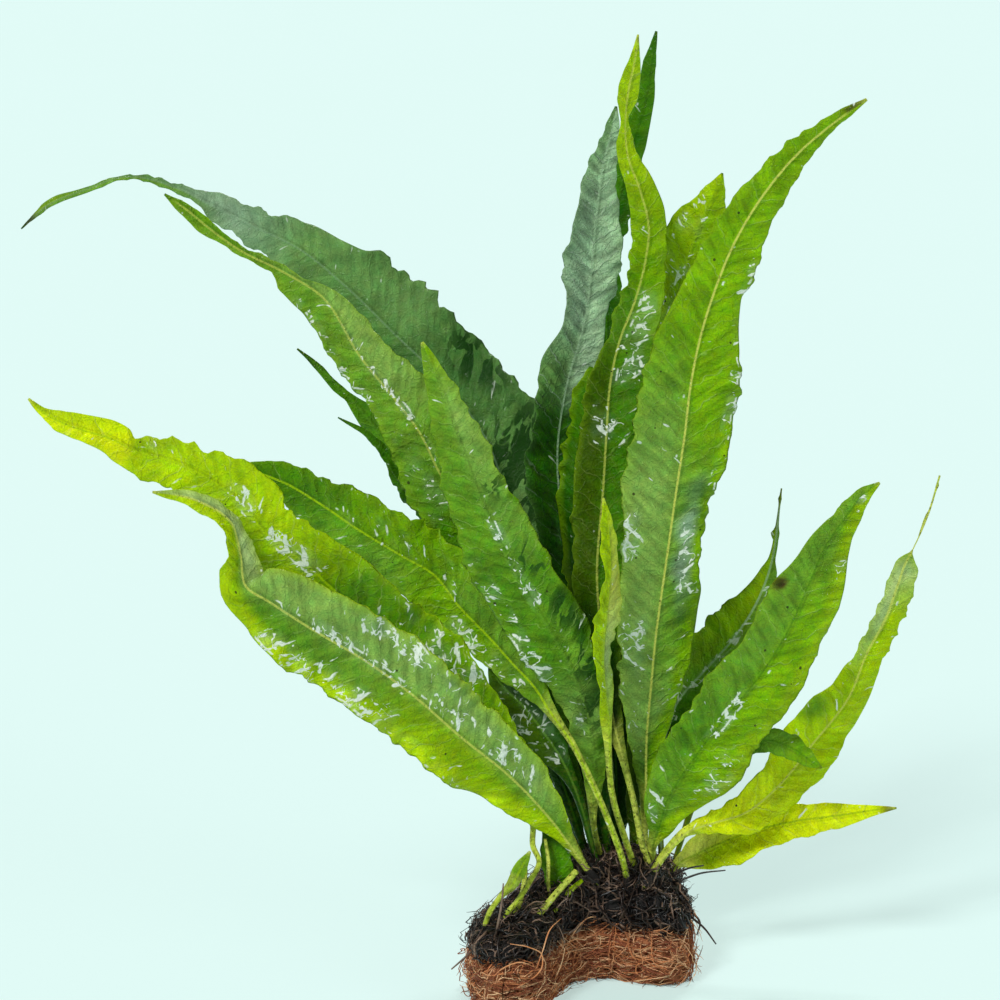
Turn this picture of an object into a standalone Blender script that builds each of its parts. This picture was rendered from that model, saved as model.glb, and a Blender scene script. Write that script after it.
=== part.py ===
# Java fern: long ruffled fronds on thin stalks, rising from a matted root clump that sits on a coir pad.
# Sizes below are millimetres. The plant stands on the pad's flat underside, and the origin is in that face.
# X runs to the viewer's right, Y away from the viewer and Z up.

import math

import bmesh
import bpy
import numpy as np
from mathutils import Vector

MM = 0.001
GAP = 0.3                  # clear space between pieces that touch

# Coir pad and the root clump on top of it
PAD_HEIGHT = 17.0
PAD_RINGS = 20
CLUMP_RINGS = 15
# Front edge (x, y), back edge (x, y) and the height of the root clump's crest, from the left end to the right
PAD_STATIONS = [
    ((-33, -44), (-35, -32), 20),
    ((-30, -48.5), (-35.5, -24), 22.5),
    ((-22, -52), (-32, -14), 24.5),
    ((-14.5, -45), (-25, -2), 26),
    ((-10, -34), (-17, 10), 28),
    ((-6, -25.5), (-9, 19), 31),
    ((0, -18.5), (1, 25), 34),
    ((8, -16.5), (11, 27), 34),
    ((16, -19.5), (19, 26), 33.5),
    ((23, -22.5), (27, 22), 31),
    ((29, -22.5), (32, 13), 24.5),
    ((33.5, -18.5), (35, 5), 19),
]

# Creeping rhizome that the stalks grow from: x, y, z and radius
RHIZOME = [
    (-33, -38, 22, 1.6), (-30, -36, 24, 3.0), (-25, -33, 24, 2.0), (-16, -26, 26, 2.8),
    (-9, -17, 28, 2.2), (-2, -8, 31, 3.0), (6, -2, 33, 2.4), (14, 1, 33, 3.0), (22, 2, 32, 2.4),
    (28, 1, 28, 2.6), (31, 0, 23.5, 1.4),
]

# Loose roots that stand clear of the clump: x, y and z along each
ROOT_RADIUS = 0.55
LOOSE_ROOTS = [
    [(26, -2, 27), (32, -4, 29.5), (39, -4, 32), (47, -4, 33)],
    [(26, 0, 26), (30, -1, 30), (35, -2, 33), (40, -2, 34)],
    [(28, -3, 23), (35, -5, 18), (40, -6, 14), (44, -8, 9)],
    [(29, 1, 21), (36, 0, 17.5), (39, -1, 14), (38, -2, 10)],
    [(-30, -37, 23), (-34, -40, 19.5), (-38, -42.5, 16.5), (-42, -43, 13)],
    [(-29, -42, 20), (-27, -42.5, 29), (-26, -42, 35), (-25.5, -41, 41)],
]

# How a frond is made
RING_GAP = 12.2            # distance between two sections of a large frond
SMALL_RING_GAP = 6.5       # the same on the small ones at the left
STALK_WIDTH = 2.6
BLADE_FROM = 7.0           # a frond this wide has its full flat section
BLADE_THICK = 0.7
RIB_ABOVE = 0.5            # midrib over the blade's face
RIB_BELOW = 1.0
GUTTER = 0.05              # the two halves rise from the midrib by this share of the width
WAVE_LENGTH = 34.0         # broad swell of the margins
WAVE_SHARE = 0.085         # its height, as a share of the width
WAVE_MOST = 2.2
SOCKET_DEPTH = 4.0         # how far a stalk runs into the clump
SOCKET_CLEAR = 0.5         # and the room round it there
SOCKET_REACH = 10.0

# Each frond from the foot of its stalk to its tip: x, y, z of the midrib, width across, and how many degrees
# the blade turns about its midrib away from facing the viewer
LARGE_FRONDS = {
    "frond_back_long": [
        (6, 12, 29, 2.6, 0), (2, 18, 50, 7, 0), (-7, 35, 80, 13.5, 10), (-20, 56, 123, 26, 12),
        (-32, 68, 162.5, 38, 14), (-50.5, 78, 184, 39.5, 10), (-61.5, 82, 194, 37, 5),
        (-78, 87, 209.5, 29.5, 0), (-94, 91, 222, 20.5, 0), (-110.5, 93, 230, 13.5, 0),
        (-124, 94, 236.5, 9, 10), (-136, 94, 242.5, 5, 25), (-154, 92, 246.5, 4, 35),
        (-165, 90, 243, 4, 35), (-180, 88, 237, 4.4, 25), (-188, 86, 230, 1, 0),
    ],
    "frond_left_bright": [
        (5.5, 6.2, 31, 2.6, 0), (-2, 8, 60, 5, 0), (-13, 14, 92, 10.5, 0), (-27, 20, 118, 19.5, 5),
        (-38.2, 26, 145, 25.5, 8), (-46.8, 30, 159, 26.5, 8), (-53, 34, 171, 24.5, 5),
        (-60.7, 37, 181, 24, 0), (-72, 42, 194, 22.5, 0), (-85.5, 48, 214, 17, 0), (-98, 52, 221, 10, 15),
        (-112.5, 54, 228, 6.5, 25), (-122, 56, 234.5, 6, 20), (-130, 57, 241, 5, 20),
        (-137, 58, 246, 1, 0),
    ],
    "frond_front_tall": [
        (7, 2, 33, 2.6, 0), (4, 2, 47, 2.6, 0), (4, 0, 66, 8, 0), (1, -5, 88, 15, 0),
        (-3, -10, 101, 19.5, 0), (-11, -14, 117, 25.5, -5), (-21, -16, 134, 26, -8),
        (-34, -16, 163, 20.5, -5), (-42, -16, 186, 13, 0), (-47, -15, 200, 7, 0), (-51, -14, 210, 1.2, 0),
    ],
    "frond_dark_sheen": [
        (8, 9, 31, 2.6, 0), (7, 12, 52, 7.5, 10), (3, 18, 84, 13, 20), (-2, 24, 110, 16, 25),
        (-6.5, 30, 142, 22, 30), (-8, 34, 165, 23.5, 30), (-5, 37, 186, 21.5, 28), (1, 40, 207, 16, 25),
        (3, 42, 223, 20, 25), (4.7, 43, 242, 17, 25), (7, 43, 259, 9, 20), (10, 42, 271, 4.5, 10),
        (11, 42, 277, 1, 0),
    ],
    "frond_back_narrow": [
        (11, 15, 29, 2.6, 0), (12, 20, 49, 7, 0), (11, 32, 80, 9, 0), (11, 48, 124, 10.5, -20),
        (11, 60, 170, 14, -25), (9, 67, 202, 13, -25), (9, 71, 227, 11, -20), (13.5, 73, 245, 11.5, -15),
        (17.5, 74, 262, 10, -10), (21.5, 74, 277, 6.5, 0), (23, 73, 288, 4, 0), (25, 72, 298, 1, 0),
    ],
    "frond_yellow_top": [
        (24, -5, 30, 2.6, 0), (20, -5, 41, 2.6, 0), (17, -5, 56, 2.6, 0), (14, -3, 68, 3, 0),
        (10, 2, 84, 7, -5), (7, 6, 105, 13, -10), (5, 10, 127, 18.5, -12), (7, 14, 158, 23, -12),
        (8, 16, 176, 25, -12), (9, 18, 190, 25.5, -10), (12, 20, 204, 23.5, -8), (17, 22, 217, 18.5, -5),
        (20, 22, 229, 14, 0), (21, 22, 241, 11, 10), (18, 21, 253, 9.5, 15), (14, 20, 264, 7.5, 20),
        (13, 19, 276, 5.5, 45), (14, 18, 285, 5.5, 20), (16, 17, 295, 3, 10), (17, 16, 303, 0.8, 0),
    ],
    "frond_curled_edge": [
        (9, 5, 32, 2.6, 0), (7, 7, 57, 5, 0), (5, 12, 86, 8.5, -10), (3, 17, 112, 12, -20),
        (0, 22, 138, 15, -30), (0, 25, 158, 16.5, -35), (1, 27, 174, 13.5, -35), (2, 28, 186, 8.5, -30),
        (3, 28, 194, 1.4, -20),
    ],
    "frond_right_big": [
        (23, 4, 30, 2.6, 0), (21, 3, 41, 2.6, 0), (21, 2, 58, 5, 0), (21, 0, 78, 13, 5),
        (22, -2, 93, 19.5, 8), (23.5, -4, 113, 23.5, 10), (25.3, -5, 128, 22, 10),
        (27.3, -6, 144, 22.5, 10), (29.4, -7, 161, 26.5, 10), (31.8, -8, 179, 30.5, 10),
        (33.5, -8, 195, 32, 10), (36.3, -8, 210, 26.5, 8), (41, -8, 226, 20, 5), (46.5, -8, 240, 18.5, 5),
        (56, -9, 256.5, 13, 5), (66, -10, 269, 8.5, 10), (76, -11, 278, 4.5, 15), (87, -12, 286, 1, 0),
    ],
    "frond_right_inner": [
        (18, 12, 30, 2.6, 0), (20, 15, 51, 6.5, 0), (22, 22, 83, 9.5, -10), (24, 28, 116, 12.5, -20),
        (26, 32, 149, 16.5, -25), (27, 34, 182, 18, -25), (29, 34, 205, 17.5, -20),
        (33, 33, 224, 21, -15), (37.5, 31, 239, 18, -10), (42, 30, 249.5, 9, 0), (45, 30, 257, 0.8, 0),
    ],
    "frond_folded_narrow": [
        (18, -7, 33, 2.6, 0), (14, -7.5, 45, 2.6, 0), (10, -9, 59, 2.6, 10), (8, -12, 80, 3.5, 30),
        (7, -15, 94, 7.5, 50), (6, -17, 109, 12, 58), (7, -18, 124, 14, 60), (8, -19, 141, 12, 58),
        (7, -19, 153, 5, 50), (6, -19, 161, 0.8, 40),
    ],
    "frond_right_low": [
        (26, 0, 30, 2.6, 0), (23, -5, 41, 3.2, 0), (25, -8.5, 49, 7.5, 0), (27, -11, 58, 15, 0),
        (35.5, -17, 75, 23.5, 5), (46, -20, 90.5, 26, 8), (57, -23, 106, 26.5, 10),
        (65, -25, 121, 24.5, 10), (71, -26, 136, 21.5, 10), (76, -26, 148, 16, 8), (82, -26, 157, 9.5, 5),
        (87, -27, 164, 5.5, 0), (92, -28, 168, 1, 0),
    ],
    "frond_right_dark": [
        (27, 9, 28, 2.6, 0), (26, 9, 46, 3.2, 0), (27, 12, 69, 12, -10), (32, 15, 85, 19.5, -15),
        (40, 17, 94, 23, -20), (50, 19, 105, 21, -20), (56, 20, 114, 15.5, -15), (61, 21, 126, 7, 0),
        (63, 21, 135, 3, 0), (64, 21, 145, 1.3, 0), (65, 21, 155, 0.8, 0),
    ],
    "frond_right_outer": [
        (22, -11.5, 33, 2.8, 0), (26, -11.5, 40, 3.2, 0), (34, -9, 48, 4.2, 0), (43, -6, 50, 8, 0),
        (53, -2, 52, 13.5, 0), (64.5, 3, 60, 18, 5), (75.3, 7, 72.7, 18, 10), (87.3, 10, 88, 15, 10),
        (93, 11, 102.5, 12.5, 5), (98.8, 11, 114, 11, 0), (102.7, 11, 126, 9.4, 0),
        (104.8, 11, 132.5, 8, 0), (106.6, 11, 136, 1.2, 0), (112, 10, 150, 0.8, 0), (115, 9, 162, 0.8, 0),
    ],
    "frond_right_lowest": [
        (28, 4, 27, 2.6, 0), (31, 4, 32, 3.5, 0), (39, 5, 36, 12, -20), (51, 6, 41, 16.5, -25),
        (62, 6, 44.7, 13.5, -25), (73, 6, 47, 11, -20), (85, 5, 49, 7.5, -10), (95, 4, 51, 4, 0),
        (103, 3, 52, 0.8, 0),
    ],
    "frond_left_big": [
        (3, -12, 34, 2.6, 0), (-3, -15, 44, 4, 0), (-11.2, -19, 56.3, 10.5, 0), (-23.3, -24, 71, 19, 5),
        (-39.6, -30, 86.5, 27, 8), (-53, -34, 100, 29, 8), (-67, -38, 112, 29.5, 8),
        (-87, -43, 126, 28.5, 5), (-98, -45, 134, 24, 5), (-105.5, -45, 139, 16.5, 25),
        (-107.3, -42, 148, 12.5, 45), (-110.3, -40, 158, 8.7, 50), (-121, -40, 165, 6, 45),
        (-134, -41, 168, 0.9, 20),
    ],
    "frond_left_yellow": [
        (2, -5, 33, 2.6, 0), (-2, -6, 42, 2.6, 0), (-10, -9, 57, 5.2, 0), (-21, -13, 74, 12, 5),
        (-34.5, -17, 91.5, 22, 5), (-48.5, -20, 105.5, 28.5, 5), (-64, -23, 118, 28.5, 0),
        (-77.5, -25, 131.5, 27.5, -5), (-88, -27, 142, 25, -5), (-101, -28, 153, 22, -5),
        (-107, -28, 161, 19, -5), (-117, -29, 169, 17, 0), (-126, -29, 174, 16.5, 5),
        (-136, -29, 177, 15.5, 20), (-142, -29, 179, 13, 35), (-147, -29, 182, 11, 15),
        (-156, -29, 185, 9.5, 0), (-164, -29, 188, 5.5, 0), (-169, -29, 191, 3, 0),
        (-173, -29, 195, 0.9, 0),
    ],
    "frond_left_middle": [
        (15, -11, 31, 2.6, 0), (13, -14, 40, 2.6, 0), (9, -16, 52, 2.6, 0), (2, -17, 69, 2.6, 0),
        (-4, -17, 81, 2.8, 0), (-10.2, -12, 89, 4.4, 0), (-16, -5, 96, 9, 0), (-22.3, -1, 102, 13, -5),
        (-29, 2, 109, 16, -8), (-40, 5, 120, 19.5, -10), (-47.6, 7, 129.5, 23, -10),
        (-58.6, 8, 136, 23.5, -10), (-72.6, 11, 144, 21.5, -10), (-84.5, 14, 151.5, 18, -8),
        (-96, 16, 158, 14.5, -5), (-106, 17, 161.5, 8, 0), (-112, 18, 163, 1, 0),
    ],
    "frond_left_hidden": [
        (3, 9.5, 30, 2.6, 0), (-5, 13, 55, 6, 0), (-17, 22, 83, 8.5, 0), (-30, 30, 108, 11.5, -15),
        (-42.3, 36, 131, 13, -20), (-52.7, 39, 147, 12, -20), (-61.3, 41, 159, 9, -10),
        (-71, 42, 169, 4, 0), (-80, 43, 174, 0.8, 0),
    ],
    "frond_left_string_tip": [
        (2.5, 13.5, 29, 2.6, 0), (-7, 19, 57, 6, 0), (-20, 30, 88, 10, 0), (-33, 39, 113, 14, -15),
        (-47, 46, 137, 17, -20), (-58, 51, 154, 16.5, -20), (-68, 55, 168, 11.5, -15),
        (-76, 57, 177, 6, 0), (-81, 58, 182, 3.4, 0), (-88, 59, 189, 1.9, 0), (-94, 59, 194, 0.8, 0),
    ],
}

SMALL_FRONDS = {
    "frond_right_short": [
        (30, 13, 26, 2.3, 0), (33, 8.5, 39, 2.3, 0), (40, -1, 62, 4, 0), (50, -7, 74.5, 6.5, 0),
        (60, -10, 79, 8, -10), (68.5, -11, 76, 7.5, -10), (74, -11, 72, 4, 0), (77, -11, 70, 0.8, 0),
    ],
    "frond_dark_wet": [
        (6, -3, 33, 2.3, 0), (4, -3, 39, 2.3, 0), (0, -2, 54, 3.4, 0), (-5, -1, 67, 5, 0),
        (-12, 0, 78, 11, 10), (-19, 1, 87, 13.5, 15), (-26, 2, 94, 8.5, 10), (-30, 2, 100, 1.2, 0),
    ],
    "young_frond_kneed": [
        (-27, -37, 25, 2.2, 0), (-26, -36, 27, 2.2, 0), (-21, -32, 32, 2.2, 0), (-17, -27, 37, 2.2, 0),
        (-14, -22, 42, 2.2, 0), (-16, -18, 46, 2.3, 0), (-16, -16.5, 53, 2.6, 0), (-18, -17, 59, 4.2, 0),
        (-20, -18, 66, 4.8, 0), (-22, -18.5, 72, 3, 0), (-24, -18.5, 76, 0.8, 0),
    ],
    "young_frond_narrow": [
        (-32, -39, 24, 2, 0), (-30, -38, 30, 2.2, 0), (-26, -35, 35, 2.5, 0), (-23, -34, 38, 4.2, 0),
        (-20, -32, 43, 4.5, 0), (-17, -30, 48, 1, 0),
    ],
    "young_stalk_thin": [
        (-24, -33, 25, 2, 0), (-21, -29, 28, 2, 0), (-19.5, -25, 32, 2, 0), (-18.5, -22, 38, 2, 0),
        (-18.5, -20, 43, 1.6, 0),
    ],
    "stalk_stub_stout": [
        (-16, -32, 25, 2.6, 0), (-9, -26, 32, 2.6, 0), (-2, -20, 38, 2.6, 0),
    ],
    "stalk_bud_yellow": [
        (-7, -22, 28, 2, 0), (-4, -19, 31, 2.3, 0), (0, -17, 34, 1.6, 0),
    ],
    "stalk_upright_thin": [
        (-10, -21, 27, 1.6, 0), (-11, -20, 34, 1.6, 0), (-11, -18, 41, 1.6, 0),
        (-12, -15.5, 47.5, 1.3, 0),
    ],
    "frond_base_dark": [
        (-8, -16, 26, 2.3, 0), (-8, -15, 30, 6.5, 0), (-8, -14, 37, 9.5, 0), (-9, -13, 45, 9, 0),
        (-10, -12, 51, 5.2, 0), (-11, -12, 55, 0.8, 0),
    ],
}

# Where the two halves of a blade differ: station, share of the left half's width, share of the right half's
UNEVEN_HALVES = {
    "frond_back_long": [(4, 1, 1), (4.6, 1, 0.93), (5.3, 1, 0.93), (5.9, 1, 1.06), (6.9, 1, 1.06),
        (7.6, 1, 0.93), (8.3, 1, 0.93), (9, 0.9, 1), (10, 0.8, 1), (11, 0.6, 0.7), (12, 0.55, 0.5),
        (13, 0.5, 0.45), (13.8, 0.6, 0.6), (15, 0.6, 0.6)],
    "frond_left_bright": [(5, 1, 1), (6.2, 0.9, 1), (7.2, 0.72, 1), (8, 0.72, 0.85), (8.7, 0.9, 0.7),
        (9.5, 1, 0.3), (9.9, 1, 0.35), (10.2, 0.45, 0.5), (11.4, 0.5, 0.6), (12.2, 1, 0.8), (14, 1, 0.8)],
    "frond_back_narrow": [(0, 1, 1), (1, 1, 1.5), (3, 1, 1.5), (4.5, 1, 1)],
    "frond_yellow_top": [(5, 1, 1), (6, 0.85, 1), (7.5, 0.8, 1), (8.5, 0.65, 1), (10, 0.35, 1),
        (11.5, 0.6, 1), (13, 1, 1), (15.4, 1, 1), (16, 0.45, 0.45), (16.7, 1.4, 1.3), (17.6, 1.4, 1.4),
        (19, 1, 1)],
    "frond_right_big": [(4, 1, 1), (5, 1.1, 1.05), (6, 1.25, 1.05), (7, 1.4, 0.95), (8, 1.35, 0.92),
        (9.3, 1.1, 1), (10, 1, 1), (14, 1, 1), (16, 1.4, 1)],
    "frond_right_low": [(1, 1, 1), (2, 1, 1.15), (3, 1, 1.35), (4, 1, 1.35), (5, 1, 1.15), (6, 1, 1),
        (7.5, 1, 1), (8.5, 0.84, 1), (10.5, 0.76, 1), (12, 1, 1)],
    "frond_right_outer": [(5.6, 1, 1), (6.3, 1.35, 1), (6.65, 1.3, 1), (7.05, 0.85, 0.93),
        (7.6, 0.65, 0.85), (8.6, 0.7, 0.95), (9.2, 0.75, 1.1), (11, 0.7, 1.1), (12, 0.8, 1)],
    "frond_left_big": [(1.5, 1, 1), (2.2, 1.1, 1), (2.8, 1.22, 1), (3.4, 1.12, 1), (4, 1.06, 1),
        (5.5, 1.05, 1), (7, 1, 1)],
    "frond_left_yellow": [(2, 1, 1), (3, 1, 0.75), (4.3, 1, 0.8), (5.2, 1, 1), (9, 1, 1), (10, 1, 1.3),
        (11, 1, 1.3), (11.7, 1, 0.9), (13.3, 1, 0.8), (14, 1, 0.55), (14.5, 1, 0.9), (15.3, 0.9, 1.15),
        (16, 0.7, 1.2), (17, 1, 1.2), (18, 1, 1)],
    "frond_left_middle": [(9.5, 1, 1), (11, 1, 1.2), (12, 1, 1.2), (13, 1, 1)],
    "frond_left_string_tip": [(1, 1, 1), (3, 0.8, 1), (4, 0.62, 1), (5.5, 0.62, 1), (6.3, 0.8, 1),
        (7.2, 0.5, 0.6), (8, 1.3, 0.5), (9, 1.5, 1), (10, 1, 1)],
    "frond_left_hidden": [(1, 1, 1), (2.5, 0.55, 1), (5, 0.55, 1), (6.5, 0.45, 0.5), (8, 0.7, 0.7)],
    "frond_dark_wet": [(2.3, 1, 1), (3, 1.7, 1), (4, 1.4, 1), (5, 1, 1)],
}

# Colour, roughness and metallic value of each material
LOOKS = {
    "mature_leaf": ((0.095, 0.26, 0.035), 0.28, 0.0),
    "dark_leaf": ((0.03, 0.11, 0.03), 0.25, 0.0),
    "young_leaf": ((0.27, 0.46, 0.02), 0.3, 0.0),
    "young_stalk": ((0.36, 0.42, 0.06), 0.4, 0.0),
    "black_root": ((0.02, 0.014, 0.011), 0.6, 0.0),
    "coir": ((0.3, 0.13, 0.05), 0.85, 0.0),
}
DARK_FRONDS = (
    "frond_back_long", "frond_dark_sheen", "frond_back_narrow", "frond_curled_edge", "frond_right_dark",
    "frond_left_hidden", "frond_dark_wet", "frond_base_dark", "frond_right_short",
)
YOUNG_FRONDS = ("frond_yellow_top", "frond_left_yellow", "frond_right_outer", "frond_right_lowest")


def material_for(name):
    if name.startswith(("stalk", "young")):
        return "young_stalk"
    if name in DARK_FRONDS:
        return "dark_leaf"
    return "young_leaf" if name in YOUNG_FRONDS else "mature_leaf"


def make_materials():
    made = {}
    for name, (colour, roughness, metallic) in LOOKS.items():
        material = bpy.data.materials.new(name)
        material.use_nodes = True
        shader = material.node_tree.nodes["Principled BSDF"]
        shader.inputs["Base Color"].default_value = (*colour, 1.0)
        shader.inputs["Roughness"].default_value = roughness
        shader.inputs["Metallic"].default_value = metallic
        material.diffuse_color = (*colour, 1.0)
        made[name] = material
    return made


def smooth_rows(rows, per_span=12):
    """Points on a smooth curve through rows, whatever their columns hold."""
    rows = np.array(rows, float)
    at = np.concatenate([[0], np.cumsum(np.linalg.norm(np.diff(rows[:, :3], axis=0), axis=1))])
    slopes = np.gradient(rows, at, axis=0)
    out = []
    for i in range(len(rows) - 1):
        span = at[i + 1] - at[i]
        for t in np.linspace(0, 1, per_span, endpoint=False):
            h00 = 2 * t**3 - 3 * t**2 + 1
            h10 = t**3 - 2 * t**2 + t
            h01 = 3 * t**2 - 2 * t**3
            h11 = t**3 - t**2
            out.append(h00 * rows[i] + h10 * span * slopes[i] + h01 * rows[i + 1] + h11 * span * slopes[i + 1])
    out.append(rows[-1])
    return np.array(out)


def even_rows(rows, gap):
    """The same curve read at even steps of about gap."""
    dense = smooth_rows(rows)
    at = np.concatenate([[0], np.cumsum(np.linalg.norm(np.diff(dense[:, :3], axis=0), axis=1))])
    count = max(4, round(at[-1] / gap) + 1)
    places = np.linspace(0, at[-1], count)
    return places, np.stack([np.interp(places, at, dense[:, k]) for k in range(dense.shape[1])], axis=1)


def axes_at(points, i, turn):
    """Across and outward directions of the section at point i of a route."""
    low = max(i - 1, 0)
    high = min(i + 1, len(points) - 1)
    along = (Vector(points[high]) - Vector(points[low])).normalized()
    viewer = Vector((0, -1, 0))
    out = (viewer - along * viewer.dot(along)).normalized()
    across = along.cross(out)
    angle = math.radians(turn)
    turned = across * math.cos(angle) - out * math.sin(angle)
    return turned, out * math.cos(angle) + across * math.sin(angle)


def frond_sections(rows, gap, phase, extra=0.0, halves=((0, 1, 1),)):
    """Closed loft sections of one frond: round on the stalk, flat with a raised midrib on the blade."""
    places, even = even_rows([(*row, k) for k, row in enumerate(rows)], gap)
    points = even[:, :3]
    sections = []
    for i, (x, y, z, width, turn, station) in enumerate(even):
        kept = [np.interp(station, [row[0] for row in halves], [row[n] for row in halves]) for n in (1, 2)]
        across, out = axes_at(points, i, turn)
        half = max(width, 0.5) / 2 + extra
        flat = min(max((width - STALK_WIDTH) / (BLADE_FROM - STALK_WIDTH), 0.0), 1.0)
        taper = min(1.0, width / 14)
        swell = min(width * WAVE_SHARE, WAVE_MOST)
        section = []
        for k in range(8):
            turn_round = math.pi - k * math.pi / 4
            side = math.cos(turn_round)
            share = (-1, -0.5, 0, 0.5, 1, 0.5, 0, -0.5)[k]
            face = (0, 1, 1, 1, 0, -1, -1, -1)[k]
            if share == 0:
                lift = RIB_ABOVE * taper if face > 0 else -RIB_BELOW * taper - BLADE_THICK / 2
            else:
                lift = face * BLADE_THICK / 2
            lift += face * extra
            wave = swell * math.sin(2 * math.pi * places[i] / WAVE_LENGTH + phase + (2.1 if share > 0 else 0))
            lift += abs(share) * GUTTER * width * 2 * (1 - 0.5 * abs(share)) + abs(share) ** 1.5 * wave
            sideways = half * (side * (1 - flat) + share * flat * kept[share > 0])
            upward = half * math.sin(turn_round) * (1 - flat) + lift * flat
            section.append(Vector((x, y, z)) + across * sideways + out * upward)
        sections.append(section)
    return sections


def loft(name, sections, collection, material=None):
    """A closed solid through sections that all have the same number of points."""
    mesh = bpy.data.meshes.new(name)
    shape = bmesh.new()
    rings = [[shape.verts.new(point * MM) for point in section] for section in sections]
    for low, high in zip(rings, rings[1:]):
        for k in range(len(low)):
            n = (k + 1) % len(low)
            shape.faces.new((low[k], low[n], high[n], high[k]))
    shape.faces.new(rings[0][::-1])
    shape.faces.new(rings[-1])
    bmesh.ops.triangulate(shape, faces=shape.faces)
    bmesh.ops.recalc_face_normals(shape, faces=shape.faces)
    shape.to_mesh(mesh)
    shape.free()
    piece = bpy.data.objects.new(name, mesh)
    collection.objects.link(piece)
    if material:
        mesh.materials.append(material)
        mesh.shade_smooth()
        mesh.set_sharp_from_angle(angle=math.radians(50))
    return piece


def pad_rows(rings):
    """Front edge, back edge and crest height at even steps along the pad."""
    rows = [(*front, 0, *back, crest) for front, back, crest in PAD_STATIONS]
    return resample(smooth_rows(rows), rings)


def resample(dense, count):
    index = np.linspace(0, len(dense) - 1, count)
    return np.stack([np.interp(index, np.arange(len(dense)), dense[:, k]) for k in range(dense.shape[1])], 1)


def make_pad(collection, material):
    """Coir pad: a bent, round-edged strip with a shaggy swell in its sides and a flat underside."""
    outline = [
        (0.03, 0), (0.35, 0), (0.65, 0), (0.97, 0), (1.01, 0.25), (1.0, 0.75), (0.95, 1), (0.65, 1), (0.35, 1),
        (0.05, 1), (0.0, 0.75), (-0.01, 0.25),
    ]
    sections = []
    for i, (fx, fy, _, bx, by, _) in enumerate(pad_rows(PAD_RINGS)):
        front = Vector((fx, fy, 0))
        back = Vector((bx, by, 0))
        section = []
        for k, (share, level) in enumerate(outline):
            shag = 0.02 * math.sin(2.3 * i + 1.7 * k) if 0 < level < 1 else 0
            shift = shag if share > 0.5 else -shag
            section.append(front.lerp(back, share + shift) + Vector((0, 0, PAD_HEIGHT * level)))
        sections.append(section)
    return loft("coir_pad", sections, collection, material)


def make_clump_body(collection, material):
    """Root clump: a lumpy dome on the pad's top."""
    outline = [
        (0.12, 0), (0.4, 0), (0.66, 0), (0.9, 0), (0.95, 0.35), (0.88, 0.75), (0.65, 1), (0.38, 1.0),
        (0.16, 0.82), (0.07, 0.4),
    ]
    sections = []
    for i, (fx, fy, _, bx, by, crest) in enumerate(pad_rows(CLUMP_RINGS)):
        front = Vector((fx, fy, 0))
        back = Vector((bx, by, 0))
        low = PAD_HEIGHT + GAP
        section = []
        for k, (share, level) in enumerate(outline):
            lump = 1 + 0.07 * math.sin(1.9 * i + 2.6 * k) if level else 1
            height = low + (crest - low) * level * lump
            section.append(front.lerp(back, share) + Vector((0, 0, height)))
        sections.append(section)
    return loft("root_clump", sections, collection, material)


def tube(name, points, radius, collection):
    """A thin round root through points, as a closed mesh."""
    curve = bpy.data.curves.new(name, "CURVE")
    curve.dimensions = "3D"
    curve.bevel_depth = radius * MM
    curve.bevel_resolution = 0
    curve.use_fill_caps = True
    dense = smooth_rows(points, 2)
    spline = curve.splines.new("POLY")
    spline.points.add(len(dense) - 1)
    for point, (x, y, z) in zip(spline.points, dense):
        point.co = (x * MM, y * MM, z * MM, 1)
    rope = bpy.data.objects.new(name, curve)
    collection.objects.link(rope)
    bpy.context.view_layer.update()
    mesh = bpy.data.meshes.new_from_object(rope.evaluated_get(bpy.context.evaluated_depsgraph_get()))
    bpy.data.objects.remove(rope)
    shape = bmesh.new()
    shape.from_mesh(mesh)
    bmesh.ops.remove_doubles(shape, verts=shape.verts, dist=0.00001)
    bmesh.ops.recalc_face_normals(shape, faces=shape.faces)
    shape.to_mesh(mesh)
    shape.free()
    piece = bpy.data.objects.new(name, mesh)
    collection.objects.link(piece)
    return piece


def make_rhizome(collection):
    """Knobby creeping stem, six sided."""
    rows = resample(smooth_rows(RHIZOME), 15)
    points = rows[:, :3]
    sections = []
    for i, (x, y, z, radius) in enumerate(rows):
        across, out = axes_at(points, i, 0)
        knob = radius * (1 + 0.1 * math.sin(2.5 * i))
        ring = [math.tau * k / 6 for k in range(6)]
        sections.append([Vector((x, y, z)) + (across * math.cos(a) - out * math.sin(a)) * knob for a in ring])
    return loft("rhizome", sections, collection)


def mark_cutter(piece):
    piece.hide_render = True
    piece.display_type = "WIRE"


def boolean(piece, operation, collection):
    """Joins or cuts a piece by every mesh in a collection."""
    step = piece.modifiers.new(operation.lower(), "BOOLEAN")
    step.operation = operation
    step.operand_type = "COLLECTION"
    step.collection = collection
    step.solver = "EXACT"
    step.use_self = True


def seated(rows):
    """The route of a frond with its foot carried on down into the clump."""
    foot = Vector(rows[0][:3])
    down = (foot - Vector(rows[1][:3])).normalized() * SOCKET_DEPTH
    return [(*(foot + down), *rows[0][3:])] + list(rows)


def socket(rows, gap, phase, name, collection):
    """Cutter that leaves room for the foot of a stalk, through the frond's own first sections."""
    foot = Vector(rows[0][:3])
    deeper = foot + (foot - Vector(rows[1][:3])).normalized() * GAP
    sections = frond_sections(rows, gap, phase, SOCKET_CLEAR)
    sections = sections[: math.ceil(SOCKET_REACH / gap) + 1]
    sections[0] = [point + deeper - foot for point in sections[0]]
    mark_cutter(loft(name, sections, collection))


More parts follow.
